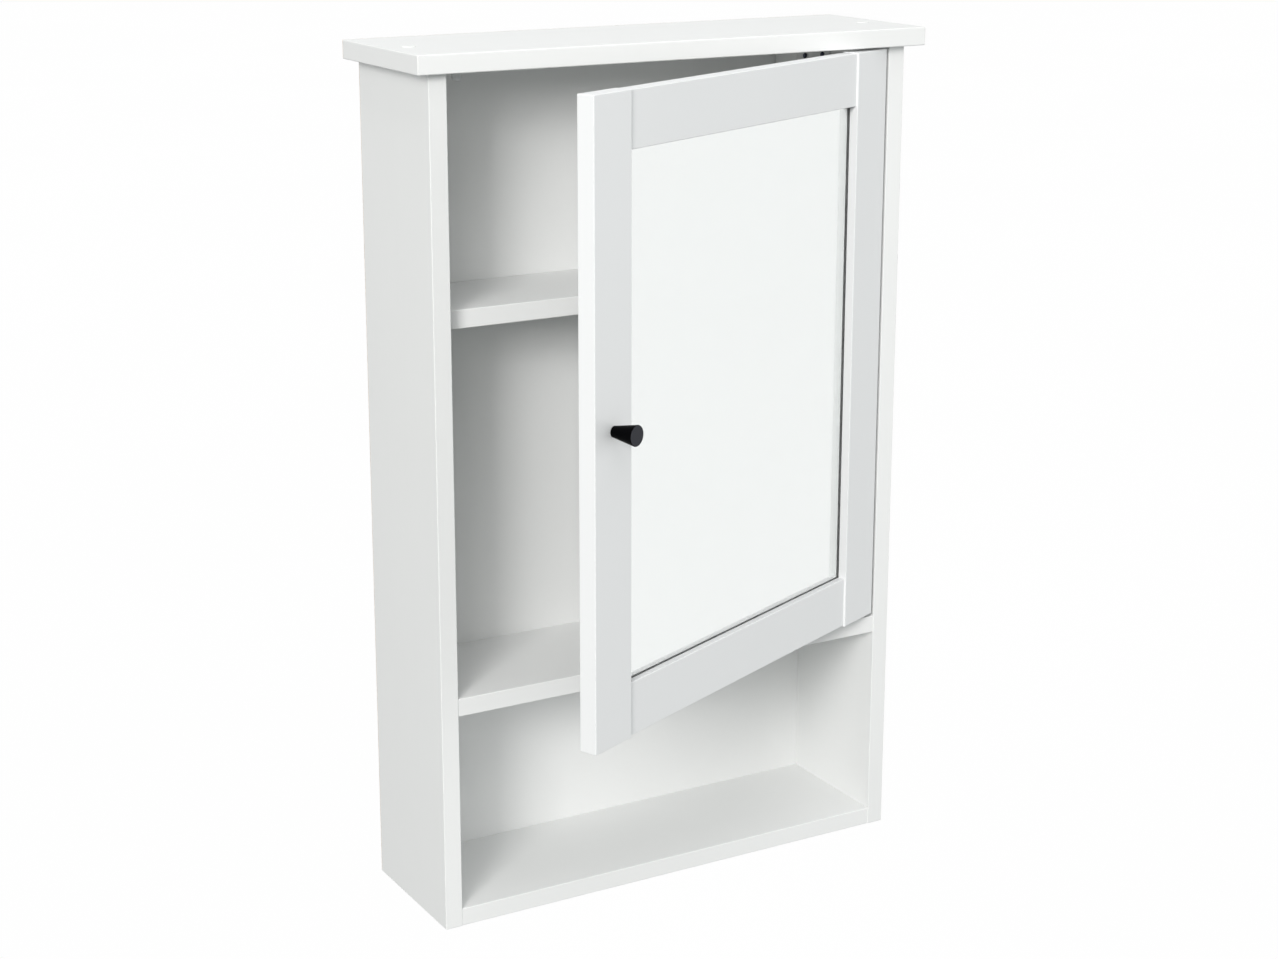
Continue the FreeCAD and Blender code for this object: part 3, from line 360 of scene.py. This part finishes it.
def hardboard_finish(name, rear_level=None):
    """White-coated thin board. Where a level is given, brown fibre shows past it on the wall side."""
    board = settings("board")
    finish = Finish(name, {"Specular IOR Level": 0.3})
    fibre = finish.noise(1300.0, 4.0, 0.65)
    cloud = finish.noise(6.0, 3.0, 0.5)
    fleck = finish.noise(260.0, 3.0, 0.7)
    colour = finish.mix(cloud, scaled(board.foil, 0.98), scaled(board.foil, 1.01))
    colour = finish.mix(finish.between(fleck, -0.3, 0.3), colour, scaled(board.foil, 0.955))
    roughness = finish.between(fibre, 0.46, 0.60)
    height = fibre
    if rear_level is not None:
        place = finish.axes()
        waves = [abs((place[axis] * (math.pi / SCREEN_PITCH)).sine()) for axis in (0, 2)]
        screen = waves[0] * waves[1]
        mottle = finish.noise(38.0, 4.0, 0.65)
        brown = finish.mix(finish.between(fibre, 0.1, 0.9), FIBRE_DARK, FIBRE_LIGHT)
        brown = finish.mix(finish.between(fleck, -0.3, 0.6), brown, scaled(FIBRE_LIGHT, 1.3))
        brown = finish.mix(finish.between(mottle, -0.5, 0.9), brown, scaled(FIBRE_DARK, 0.75))
        brown = finish.mix(finish.between(screen, 0.35, 0.0), brown, scaled(FIBRE_DARK, 0.8))
        rear = place[1] > rear_level
        colour = finish.mix(rear, colour, brown)
        roughness = roughness + rear * 0.2
        height = fibre * (1 + rear * 1.5) + screen * rear * 4.0
    return finish.done(colour, roughness, height, 0.3, 0.04 * MM)


def metal_finish(name, colour, roughness_range, brush_axis, tint):
    """Plated steel: fine brushing along one axis, cloudy plating and small scuffs."""
    finish = Finish(name, {"Metallic": 1.0})
    brush = finish.noise(2600.0, 3.0, 0.6, along_axis(brush_axis, 0.08))
    cloud = finish.noise(120.0, 3.0, 0.6)
    scuff = finish.noise(700.0, 5.0, 0.75)
    base = finish.mix(cloud, colour, tuple(a * b for a, b in zip(colour, tint)))
    base = finish.mix((scuff > 0.66) * 0.35, base, scaled(colour, 0.7))
    roughness = finish.between(brush, *roughness_range) + finish.between(cloud, -0.04, 0.06)
    return finish.done(base, roughness, brush + scuff * 0.5, 0.2, 0.02 * MM)


def plastic_finish(name, colour, roughness_range, **constants):
    """Moulded plastic with the fine spark grain of its tool."""
    finish = Finish(name, {"Specular IOR Level": 0.5, **constants})
    spark = finish.noise(3200.0, 2.0, 0.6)
    cloud = finish.noise(160.0, 2.0, 0.5)
    base = finish.mix(cloud, scaled(colour, 0.98), scaled(colour, 1.01))
    return finish.done(base, finish.between(spark, *roughness_range), spark, 0.25, 0.02 * MM)


def wood_finish(name):
    """Pale beech with its short dark flecks."""
    finish = Finish(name, {"Specular IOR Level": 0.3})
    ring = finish.noise(400.0, 3.0, 0.5, along_axis(0, 0.05), 0.6)
    fleck = finish.noise(1500.0, 2.0, 0.6, along_axis(0, 0.12))
    base = finish.mix(ring, BEECH_DARK, BEECH_LIGHT)
    base = finish.mix((fleck > 0.64) * 0.5, base, BEECH_FLECK)
    return finish.done(base, finish.between(ring, 0.45, 0.65), fleck, 0.3, 0.05 * MM)


def silver_finish():
    """The silver behind the glass, with a trace of wiping marks."""
    mirror = settings("mirror")
    finish = Finish("mirror_silver", {"Metallic": 1.0})
    wipe = finish.noise(14.0, 4.0, 0.6, along_axis(2, 0.35), 0.5)
    colour = finish.mix(wipe, mirror.silver, scaled(mirror.silver, 0.985))
    return finish.done(colour, finish.between(wipe, 0.0, 0.012), wipe, 0.02, 0.002 * MM)


def glass_finish(low, high):
    """Clear float glass whose ground edges are duller than its faces."""
    mirror = settings("mirror")
    finish = Finish("mirror_glass", {"Transmission Weight": 1.0, "IOR": mirror.refraction})
    haze = finish.noise(30.0, 4.0, 0.6)
    place = finish.axes()
    rim = (place[2] - low.z).least(high.z - place[2])
    ground = rim < mirror.arris
    colour = finish.mix(ground, GLASS_FACE, GLASS_GROUND)
    return finish.done(colour, finish.between(haze, 0.0, 0.006) + ground * 0.3, haze, 0.02, 0.002 * MM)


def lacquer_finish(forward, face_level):
    """Black lacquer; the turned face, which lies past a level along the knob's axis, is painted lighter as a
    painted reflection of the white surroundings.
    """
    knob = settings("knob")
    # the lacquer's own reflection is kept very low; the face's brightness is painted into its colour below
    finish = Finish("black_lacquer_painted_face_reflection", {"Specular IOR Level": 0.015})
    peel = finish.noise(900.0, 2.0, 0.5)
    dust = finish.noise(4200.0, 2.0, 0.6)
    along = finish.node("VectorMath", {"operation": "DOT_PRODUCT"}, {0: finish.place, 1: forward},
                        output="Value")
    face = along > face_level
    # painted reflection: the face mask gets the lighter face colour in place of mirrored white surroundings
    colour = finish.mix(face, knob.lacquer, knob.face)
    colour = finish.mix((dust > 0.72) * 0.25, colour, DUST)
    roughness = finish.between(peel, 0.28, 0.40) + face * 0.12
    return finish.done(colour, roughness, peel + dust * 0.3, 0.2, 0.03 * MM)


def floor_finish():
    """A plain pale floor that is as bright as the surroundings, so that no horizon shows."""
    finish = Finish("studio_floor", {"Specular IOR Level": 0.0, "Emission Strength": 1.0})
    soft = finish.noise(0.7, 2.0, 0.5)
    finish.feed(finish.shader.inputs["Emission Color"], finish.mix(soft, (0.99, 0.99, 0.99), (1.0, 1.0, 1.0)))
    return finish.done((0.0, 0.0, 0.0), finish.between(soft, 0.85, 0.95), soft, 0.02, 0.5 * MM)


def nickel(name):
    return metal_finish(name, settings("hardware").nickel, (0.22, 0.34), 2, (1.0, 0.98, 0.94))


def zinc(name):
    return metal_finish(name, settings("hardware").zinc, (0.30, 0.44), 1, (0.97, 0.98, 1.0))


def dark_zinc(name):
    return metal_finish(name, DARK_ZINC, (0.38, 0.52), 1, (0.9, 0.95, 1.1))


def white_plastic(name):
    return plastic_finish(name, settings("hardware").plastic, (0.32, 0.42))


def milky_plastic(name):
    return plastic_finish(name, MILKY, (0.22, 0.34), **{"Transmission Weight": 0.45, "IOR": 1.46})


MAKERS = {"nickel": nickel, "zinc": zinc, "dark_zinc": dark_zinc, "white_plastic": white_plastic,
          "milky_plastic": milky_plastic, "beech": wood_finish, "white_board": hardboard_finish}


def shared(name):
    """The shared material of that name, made when it is first asked for."""
    full_name = "cabinet_" + name
    return bpy.data.materials.get(full_name) or MAKERS[name](full_name)


def clad(node, material):
    """Give a carried-over node its material."""
    slots = frame["nodes"][node].material_slots
    if slots:
        for slot in slots:
            slot.material = material
    else:
        frame["nodes"][node].data.materials.append(material)


# ---- mesh building ----
def block(low, high):
    """A box between two corners."""
    shape = bmesh.new()
    bmesh.ops.create_cube(shape, size=1.0)
    low, high = Vector(low), Vector(high)
    bmesh.ops.scale(shape, vec=high - low, verts=shape.verts)
    bmesh.ops.translate(shape, vec=(low + high) / 2, verts=shape.verts)
    return shape


def turned(profile, steps):
    """A solid turned about Z from (radius, height) points that start and end on the axis."""
    shape = bmesh.new()
    points = [shape.verts.new((radius, 0, height)) for radius, height in profile]
    edges = [shape.edges.new(pair) for pair in zip(points, points[1:])]
    bmesh.ops.spin(shape, geom=points + edges, cent=(0, 0, 0), axis=(0, 0, 1), angle=math.tau,
                   steps=steps, use_merge=True)
    bmesh.ops.remove_doubles(shape, verts=shape.verts, dist=1e-7)
    bmesh.ops.recalc_face_normals(shape, faces=shape.faces)
    return shape


def rounded(shape, width, segments=3, limit=math.radians(35), wanted=None):
    """Round the edges that turn by more than the limit, or only those of them that are wanted."""
    edges = [edge for edge in shape.edges if edge.is_manifold and edge.calc_face_angle() > limit
             and (wanted is None or wanted(edge))]
    bmesh.ops.bevel(shape, geom=edges, offset=width, offset_type="OFFSET", affect="EDGES",
                    segments=segments, profile=0.5, material=-1, clamp_overlap=True)
    return shape


def stood(shape, place, direction):
    """Carry a shape built about Z to a place, with its axis along a direction."""
    turn = Vector(direction).to_track_quat("Z", "Y").to_matrix().to_4x4()
    shape.transform(Matrix.Translation(place) @ turn)
    return shape


def joined(shapes):
    """One shape that holds several."""
    whole = bmesh.new()
    for shape in shapes:
        mesh = bpy.data.meshes.new("joined")
        shape.to_mesh(mesh)
        shape.free()
        whole.from_mesh(mesh)
        bpy.data.meshes.remove(mesh)
    return whole


def placed(shape, name):
    """An object of a shape, linked into the scene. The shape is used up."""
    mesh = bpy.data.meshes.new(name)
    shape.to_mesh(mesh)
    shape.free()
    made = bpy.data.objects.new(name, mesh)
    bpy.context.scene.collection.objects.link(made)
    return made


def cut(shape, tools):
    """The shape with each tool cut out of it."""
    for tool in tools:
        host, cutter = placed(shape, "host"), placed(tool, "cutter")
        modifier = host.modifiers.new("cut", "BOOLEAN")
        modifier.operation, modifier.solver, modifier.object = "DIFFERENCE", "EXACT", cutter
        bpy.context.view_layer.update()
        result = bpy.data.meshes.new_from_object(host.evaluated_get(bpy.context.evaluated_depsgraph_get()))
        shape = bmesh.new()
        shape.from_mesh(result)
        for gone in (host, cutter):
            mesh = gone.data
            bpy.data.objects.remove(gone)
            bpy.data.meshes.remove(mesh)
        bpy.data.meshes.remove(result)
    return shape


def merged(node, turn=None):
    """A closed copy of a node's mesh, its flat faces whole."""
    shape = bmesh.new()
    shape.from_mesh(frame["nodes"][node].data)
    bmesh.ops.remove_doubles(shape, verts=shape.verts, dist=2e-6)
    bmesh.ops.dissolve_limit(shape, angle_limit=math.radians(1.0), verts=shape.verts, edges=shape.edges)
    if turn is not None:
        shape.transform(turn)
    return shape


# ---- pieces ----
SHARP = math.radians(38)     # edges that turn by more than this are shaded sharp


def body_of(node):
    return next(body for body, nodes in frame["record"]["behaviour"]["bodies"].items() if node in nodes)


def piece(shape, name, body, material, replaces=(), turn=None):
    """Make a finished object of a shape: smooth, with weighted normals, riding on its body."""
    if turn is not None:
        shape.transform(turn)
    made = placed(shape, name)
    made.data.materials.append(material)
    made.data.shade_smooth()
    made.data.set_sharp_from_angle(angle=SHARP)
    weighted = made.modifiers.new("weighted", "WEIGHTED_NORMAL")
    weighted.keep_sharp = True
    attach(made, body)
    if replaces:
        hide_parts(*replaces)
    return made


def softened(node, material, width):
    """A copy of a node with its sharp edges rounded, in place of the node."""
    shape = rounded(merged(node), width, segments=2, limit=math.radians(40))
    return piece(shape, node + "_softened", body_of(node), material, [node])


# ---- screws ----
SCREWS = {
    # node: plating, then the head's height, the shank's radius and the reach of the cross recess, in mm
    "knob_screw": ("zinc", 2.4, 2.0, 2.2),
    "hanger_adjusting_screws": ("dark_zinc", 3.0, 1.9, 2.0),
    "hanger_fixing_screws": ("zinc", 1.6, 1.5, 1.9),
    "hinge_cup_screws": ("zinc", 1.4, 1.9, 1.8),
    "hinge_plate_screws": ("zinc", 1.8, 1.9, 2.0),
    "hinge_arm_screws": ("zinc", 1.8, 2.0, 2.2),
}
CROWN = ((0.5, 0.0), (0.82, 0.22), (1.0, 0.55), (1.0, 1.0))      # shares of the head's radius and height
THREAD_PITCH, THREAD_DEPTH = 1.1 * MM, 0.22 * MM
RECESS_WIDTH = 0.8 * MM
RECESS_DEPTH = 0.55          # share of the head's height
END_REACH = 0.01 * MM        # points this near to a rod's end belong to it


class Rod:
    """One round solid of a node: its head's middle, the way it points, its length and its widest radius."""

    def __init__(self, points):
        low, high = corners(points)
        size, centre = high - low, (low + high) / 2
        along = max(range(3), key=lambda axis: size[axis])
        across = [axis for axis in range(3) if axis != along]

        def width(end):
            return max(abs(point[across[0]] - centre[across[0]]) for point in points
                       if abs(point[along] - end[along]) < END_REACH)

        headed_high = width(high) > width(low)
        self.radius = max(size[axis] for axis in across) / 2
        self.length = size[along]
        self.way = Vector((0.0, 0.0, 0.0))
        self.way[along] = 1.0 if headed_high else -1.0
        self.head = Vector(centre)
        self.head[along] = high[along] if headed_high else low[along]


def islands(shape):
    """The places of the vertices of each separate solid in a shape."""
    found, seen = [], set()
    for start in shape.verts:
        if start in seen:
            continue
        seen.add(start)
        group, waiting = [], [start]
        while waiting:
            vertex = waiting.pop()
            group.append(vertex.co.copy())
            fresh = {edge.other_vert(vertex) for edge in vertex.link_edges} - seen
            seen |= fresh
            waiting += fresh
        found.append(group)
    return found


def screw(rod, head_height, shank_radius, recess):
    """A cross-headed screw whose head's crown is at the origin, pointing up, with a threaded shank below."""
    core = shank_radius - THREAD_DEPTH
    profile = [(0, 0)] + [(rod.radius * out, -head_height * down) for out, down in CROWN]
    profile += [(shank_radius, -head_height)]
    level = -head_height - THREAD_PITCH
    while level - THREAD_PITCH > -rod.length:
        profile += [(core, level), (shank_radius, level - THREAD_PITCH / 2)]
        level -= THREAD_PITCH
    profile += [(core, -rod.length), (0, -rod.length)]
    half, bottom = RECESS_WIDTH / 2, -head_height * RECESS_DEPTH
    slots = [block((-recess, -half, bottom), (recess, half, head_height)),
             block((-half, -recess, bottom), (half, recess, head_height))]
    return cut(turned(profile, settings("hardware").steps), slots)


def add_screws(node):
    """Cross-headed screws in place of a node's plain ones. The door's are measured with the door shut."""
    plating, *sizes = SCREWS[node]
    head_height, shank_radius, recess = (size * MM for size in sizes)
    turn = DOOR_TURN if body_of(node) == "door" else None
    plain = merged(node, turn.inverted() if turn else None)
    rods = [Rod(points) for points in islands(plain)]
    plain.free()
    shapes = [stood(screw(rod, head_height, shank_radius, recess), rod.head, rod.way) for rod in rods]
    piece(joined(shapes), node + "_cut", body_of(node), shared(plating), [node], turn)


# ---- operators ----
class FinishBoards(Operator):
    """Cover the carcass boards in white foil and the back panel in white-faced hardboard"""
    bl_idname = "cabinet.finish_boards"
    bl_label = "Boards"

    def execute(self, context):
        front, left, right = (1, -1), (0, -1), (0, 1)
        for side in SIDES:
            clad("side_panel_" + side, foil_finish("side_panel_" + side, 2, [front]))
        clad("top_board", foil_finish("top_board", 0, [front, left, right]))
        for node in ("bottom_board", "fixed_shelf", "middle_shelf"):
            clad(node, foil_finish(node, 0, [front]))
        clad("back_panel", hardboard_finish("back_hardboard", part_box("back_panel")[1].y - REAR_SKIN))
        clad("panel_dowels", shared("beech"))
        return {"FINISHED"}


class FinishDoor(Operator):
    """Paint the door frame and face its backing board and beads"""
    bl_idname = "cabinet.finish_door"
    bl_label = "Door frame"

    def execute(self, context):
        for node in ("door_stile_left", "door_stile_right", "door_rail_top", "door_rail_bottom"):
            clad(node, paint_finish(node))
        clad("mirror_backing", shared("white_board"))
        for place in (*SIDES, "top", "bottom"):
            clad("backing_bead_" + place, shared("white_board"))
        clad("frame_dowels", shared("beech"))
        return {"FINISHED"}


class AddMirror(Operator):
    """Make the mirror as clear glass with a ground arris over a silver layer"""
    bl_idname = "cabinet.add_mirror"
    bl_label = "Mirror"

    def execute(self, context):
        mirror = settings("mirror")
        low, high = shut_box("mirror_glass")
        silver_front = high.y - mirror.silver_thickness
        air = 0.02 * MM
        pane = rounded(block(low, (high.x, silver_front - air, high.z)), mirror.arris, segments=1)
        glass = glass_finish(low, high)
        piece(pane, "mirror_glass_pane", "door", glass, ["mirror_glass"], DOOR_TURN)
        inset = Vector((mirror.arris, 0, mirror.arris))
        layer = block(Vector((low.x, silver_front, low.z)) + inset, high - inset)
        piece(layer, "mirror_silver_layer", "door", silver_finish(), turn=DOOR_TURN)
        return {"FINISHED"}


class AddKnob(Operator):
    """Turn the conical knob and its screw"""
    bl_idname = "cabinet.add_knob"
    bl_label = "Knob"

    def execute(self, context):
        knob = settings("knob")
        low, high = shut_box("door_knob")
        radius, length = (high.z - low.z) / 2, high.y - low.y
        foot_radius = radius * knob.foot
        foot = Vector(((low.x + high.x) / 2, high.y, (low.z + high.z) / 2))
        step = [(0, 0), (foot_radius - knob.relief, 0), (foot_radius - knob.relief, knob.relief)]
        cone = [(foot_radius, knob.relief * 1.6), (radius, length), (0, length)]
        shape = turned(step + cone, knob.steps)
        rounded(shape, knob.bevel, 4, wanted=lambda edge: min(v.co.z for v in edge.verts) > length - 1e-6)
        stood(shape, foot, FORWARD)
        forward = DOOR_TURN.to_3x3() @ FORWARD
        # past this level the knob's face takes its painted reflection
        face_level = forward.dot(DOOR_TURN @ (foot + FORWARD * length)) - FACE_SKIN
        lacquer = lacquer_finish(forward, face_level)
        piece(shape, "knob", "door", lacquer, ["door_knob"], DOOR_TURN)
        add_screws("knob_screw")
        return {"FINISHED"}


class AddCoverCaps(Operator):
    """Turn the two cover caps in the top board"""
    bl_idname = "cabinet.add_cover_caps"
    bl_label = "Cover caps"

    def execute(self, context):
        hardware = settings("hardware")
        board_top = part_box("top_board")[1].z
        for side in SIDES:
            node = "cover_cap_" + side
            low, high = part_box(node)
            radius, proud, sunk = (high.x - low.x) / 2, high.z - board_top, board_top - low.z
            middle = proud - hardware.dish
            stem = [(0, -sunk), (radius * 0.66, -sunk), (radius * 0.72, 0)]
            rim = [(radius, 0), (radius, proud * 0.6), (radius * 0.93, proud), (radius * 0.80, proud)]
            shape = turned(stem + rim + [(radius * 0.74, middle), (0, middle)], hardware.steps)
            rounded(shape, 0.12 * MM, limit=math.radians(15))
            stood(shape, Vector(((low.x + high.x) / 2, (low.y + high.y) / 2, board_top)), UP)
            piece(shape, node + "_moulded", "carcass", shared("white_plastic"), [node])
        return {"FINISHED"}


class AddDoorStop(Operator):
    """Turn the milky peg that stops the door's free corner"""
    bl_idname = "cabinet.add_door_stop"
    bl_label = "Door stop"

    def execute(self, context):
        hardware = settings("hardware")
        low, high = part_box("door_stop")
        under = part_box("top_board")[0].z
        radius, drop, rise = (high.x - low.x) / 2, under - low.z, high.z - under
        tip = [(0, -drop), (radius * 0.55, -drop), (radius * 0.86, -drop * 0.93), (radius, -drop * 0.8)]
        collar = [(radius, -0.8 * MM), (radius * 0.9, 0)]
        stem = [(radius * 0.48, 0), (radius * 0.48, rise), (0, rise)]
        shape = turned(tip + collar + stem, hardware.steps)
        rounded(shape, 0.3 * MM, limit=math.radians(12))
        stood(shape, Vector(((low.x + high.x) / 2, (low.y + high.y) / 2, under)), UP)
        piece(shape, "door_stop_peg", "carcass", shared("milky_plastic"), ["door_stop"])
        return {"FINISHED"}


class FinishHangers(Operator):
    """Finish the cabinet hangers in the top corners and the wall plates behind them"""
    bl_idname = "cabinet.finish_hangers"
    bl_label = "Hangers"

    def execute(self, context):
        edge = settings("hardware").edge
        for side in SIDES:
            softened("hanger_housing_" + side, shared("white_plastic"), edge)
            softened("hanger_hook_" + side, shared("nickel"), edge)
            softened("wall_plate_" + side, shared("nickel"), edge)
        add_screws("hanger_adjusting_screws")
        add_screws("hanger_fixing_screws")
        return {"FINISHED"}


class FinishHinges(Operator):
    """Finish the concealed hinges: cups, links, arms, plates, pins and screws"""
    bl_idname = "cabinet.finish_hinges"
    bl_label = "Hinges"

    def execute(self, context):
        edge = settings("hardware").edge
        for level in LEVELS:
            for part in ("cup", "outer_link", "inner_link", "arm", "plate"):
                softened("hinge_%s_%s" % (part, level), shared("nickel"), edge)
        for part in ("cup", "arm", "knee"):
            softened("hinge_%s_pins" % part, shared("zinc"), edge)
        for part in ("cup", "plate", "arm"):
            add_screws("hinge_%s_screws" % part)
        return {"FINISHED"}


class FinishFittings(Operator):
    """Finish the cam locks and their bolts, the shelf pins and the top screws"""
    bl_idname = "cabinet.finish_fittings"
    bl_label = "Fittings"

    def execute(self, context):
        edge = settings("hardware").fine_edge
        softened("cam_locks", shared("dark_zinc"), edge)
        softened("shelf_pins", shared("zinc"), edge)
        for node in ("cam_bolts", "top_screws"):
            clad(node, shared("zinc"))
        return {"FINISHED"}


# ---- stage ----
MIDDLE = (CAD_BOX[0] + CAD_BOX[1]) / 2
WARM, PLAIN = (1.0, 0.985, 0.97), (1.0, 1.0, 1.0)
LIGHTS = {
    # name: turn to the right and height, in degrees from straight in front; distance and width, in metres;
    # watts; colour
    "key_softbox": (-48, 20, 6.0, 1.6, 215, WARM),
    "key_softbox_high": (-42, 30, 6.0, 1.6, 48, WARM),
    "key_softbox_front": (-30, 20, 6.0, 1.6, 36, WARM),
    "top_softbox": (0, 88, 5.0, 4.0, 84, PLAIN),
    "right_softbox": (40, 10, 6.0, 4.0, 46, PLAIN),
    "right_side_softbox": (75, 10, 6.0, 4.0, 52, PLAIN),
    "front_high_softbox": (-15, 50, 6.0, 3.0, 48, PLAIN),
}


def out_at(turn, height):
    """The direction out from the cabinet at a turn to the right of straight in front and a height."""
    level = math.cos(height)
    return Vector((math.sin(turn) * level, -math.cos(turn) * level, math.sin(height)))


def stand(data, place, backwards):
    """A lamp or a camera at a place, looking the opposite way to backwards."""
    made = bpy.data.objects.new(data.name, data)
    made.location = place
    made.rotation_mode = "QUATERNION"
    made.rotation_quaternion = backwards.to_track_quat("Z", "Y")
    bpy.context.scene.collection.objects.link(made)
    return made


def lay_floor(stage):
    """A round floor that is seen but lights nothing."""
    shape = bmesh.new()
    bmesh.ops.create_circle(shape, cap_ends=True, radius=stage.floor_radius, segments=96)
    bmesh.ops.translate(shape, vec=(0, 0, CAD_BOX[0].z - stage.floor_drop), verts=shape.verts)
    floor = placed(shape, "studio_floor")
    floor.data.materials.append(floor_finish())
    floor.visible_diffuse = False


def studio_world(stage):
    """White surroundings to look at and to see in the mirror; a softer share of them lights the cabinet."""
    world = bpy.data.worlds.new("studio_surroundings")
    world.use_nodes = True
    tree = world.node_tree
    seen, unseen = tree.nodes["Background"], tree.nodes.new("ShaderNodeBackground")
    seen.inputs["Color"].default_value = (1.0, 1.0, 1.0, 1.0)
    seen.inputs["Strength"].default_value = stage.surroundings
    unseen.inputs["Color"].default_value = (*stage.ambient_tint, 1.0)
    unseen.inputs["Strength"].default_value = stage.ambient
    path, blend = tree.nodes.new("ShaderNodeLightPath"), tree.nodes.new("ShaderNodeMixShader")
    looked_at = path.outputs["Is Camera Ray"]
    for ray in ("Is Glossy Ray", "Is Transmission Ray"):
        either = tree.nodes.new("ShaderNodeMath")
        either.operation = "MAXIMUM"
        tree.links.new(looked_at, either.inputs[0])
        tree.links.new(path.outputs[ray], either.inputs[1])
        looked_at = either.outputs[0]
    tree.links.new(looked_at, blend.inputs[0])
    tree.links.new(unseen.outputs[0], blend.inputs[1])
    tree.links.new(seen.outputs[0], blend.inputs[2])
    tree.links.new(blend.outputs[0], tree.nodes["World Output"].inputs["Surface"])
    return world


def set_lights():
    """Soft lights round the cabinet's middle, which neither the camera nor the mirror sees."""
    for name, (turn, height, distance, width, watts, colour) in LIGHTS.items():
        lamp = bpy.data.lights.new(name, "AREA")
        lamp.shape, lamp.size = "SQUARE", width
        lamp.energy, lamp.color = watts, colour
        out = out_at(math.radians(turn), math.radians(height))
        light = stand(lamp, MIDDLE + out * distance, out)
        light.visible_camera = light.visible_glossy = light.visible_transmission = False


def stand_camera(stage):
    lens = bpy.data.cameras.new("camera")
    lens.lens, lens.sensor_width = stage.lens, 36.0
    lens.shift_x, lens.shift_y = stage.shift_x, stage.shift_y
    lens.clip_end = 200.0
    return stand(lens, stage.eye, out_at(-stage.yaw, stage.pitch))


class SetStage(Operator):
    """Lay the floor, set the soft lights and stand the camera"""
    bl_idname = "cabinet.set_stage"
    bl_label = "Stage"

    def execute(self, context):
        stage = settings("stage")
        scene = context.scene
        lay_floor(stage)
        scene.world = studio_world(stage)
        set_lights()
        scene.camera = stand_camera(stage)
        scene.view_settings.view_transform = "Standard"
        scene.view_settings.look = "None"
        return {"FINISHED"}


# ---- add-on ----
OPERATORS = (FinishBoards, FinishDoor, AddMirror, AddKnob, AddCoverCaps, AddDoorStop,
             FinishHangers, FinishHinges, FinishFittings, SetStage)


class CabinetPanel(Panel):
    """Lists the cabinet's operators and settings"""
    bl_idname = "VIEW3D_PT_cabinet"
    bl_label = "Medicine cabinet"
    bl_space_type = "VIEW_3D"
    bl_region_type = "UI"
    bl_category = "Cabinet"

    def draw(self, context):
        for operator in OPERATORS:
            self.layout.operator(operator.bl_idname)
        for name, group in SETTINGS.items():
            box = self.layout.box()
            box.label(text=name.title())
            for item in group.__annotations__:
                box.prop(settings(name), item)


CLASSES = (*SETTINGS.values(), *OPERATORS, CabinetPanel)


def register():
    for kind in CLASSES:
        bpy.utils.register_class(kind)
    for name, group in SETTINGS.items():
        setattr(bpy.types.Scene, "cabinet_" + name, PointerProperty(type=group))


def unregister():
    for name in SETTINGS:
        delattr(bpy.types.Scene, "cabinet_" + name)
    for kind in reversed(CLASSES):
        bpy.utils.unregister_class(kind)


def main():
    register()
    for operator in OPERATORS:
        group, name = operator.bl_idname.split(".")
        getattr(getattr(bpy.ops, group), name)()


if __name__ == "__main__":
    main()
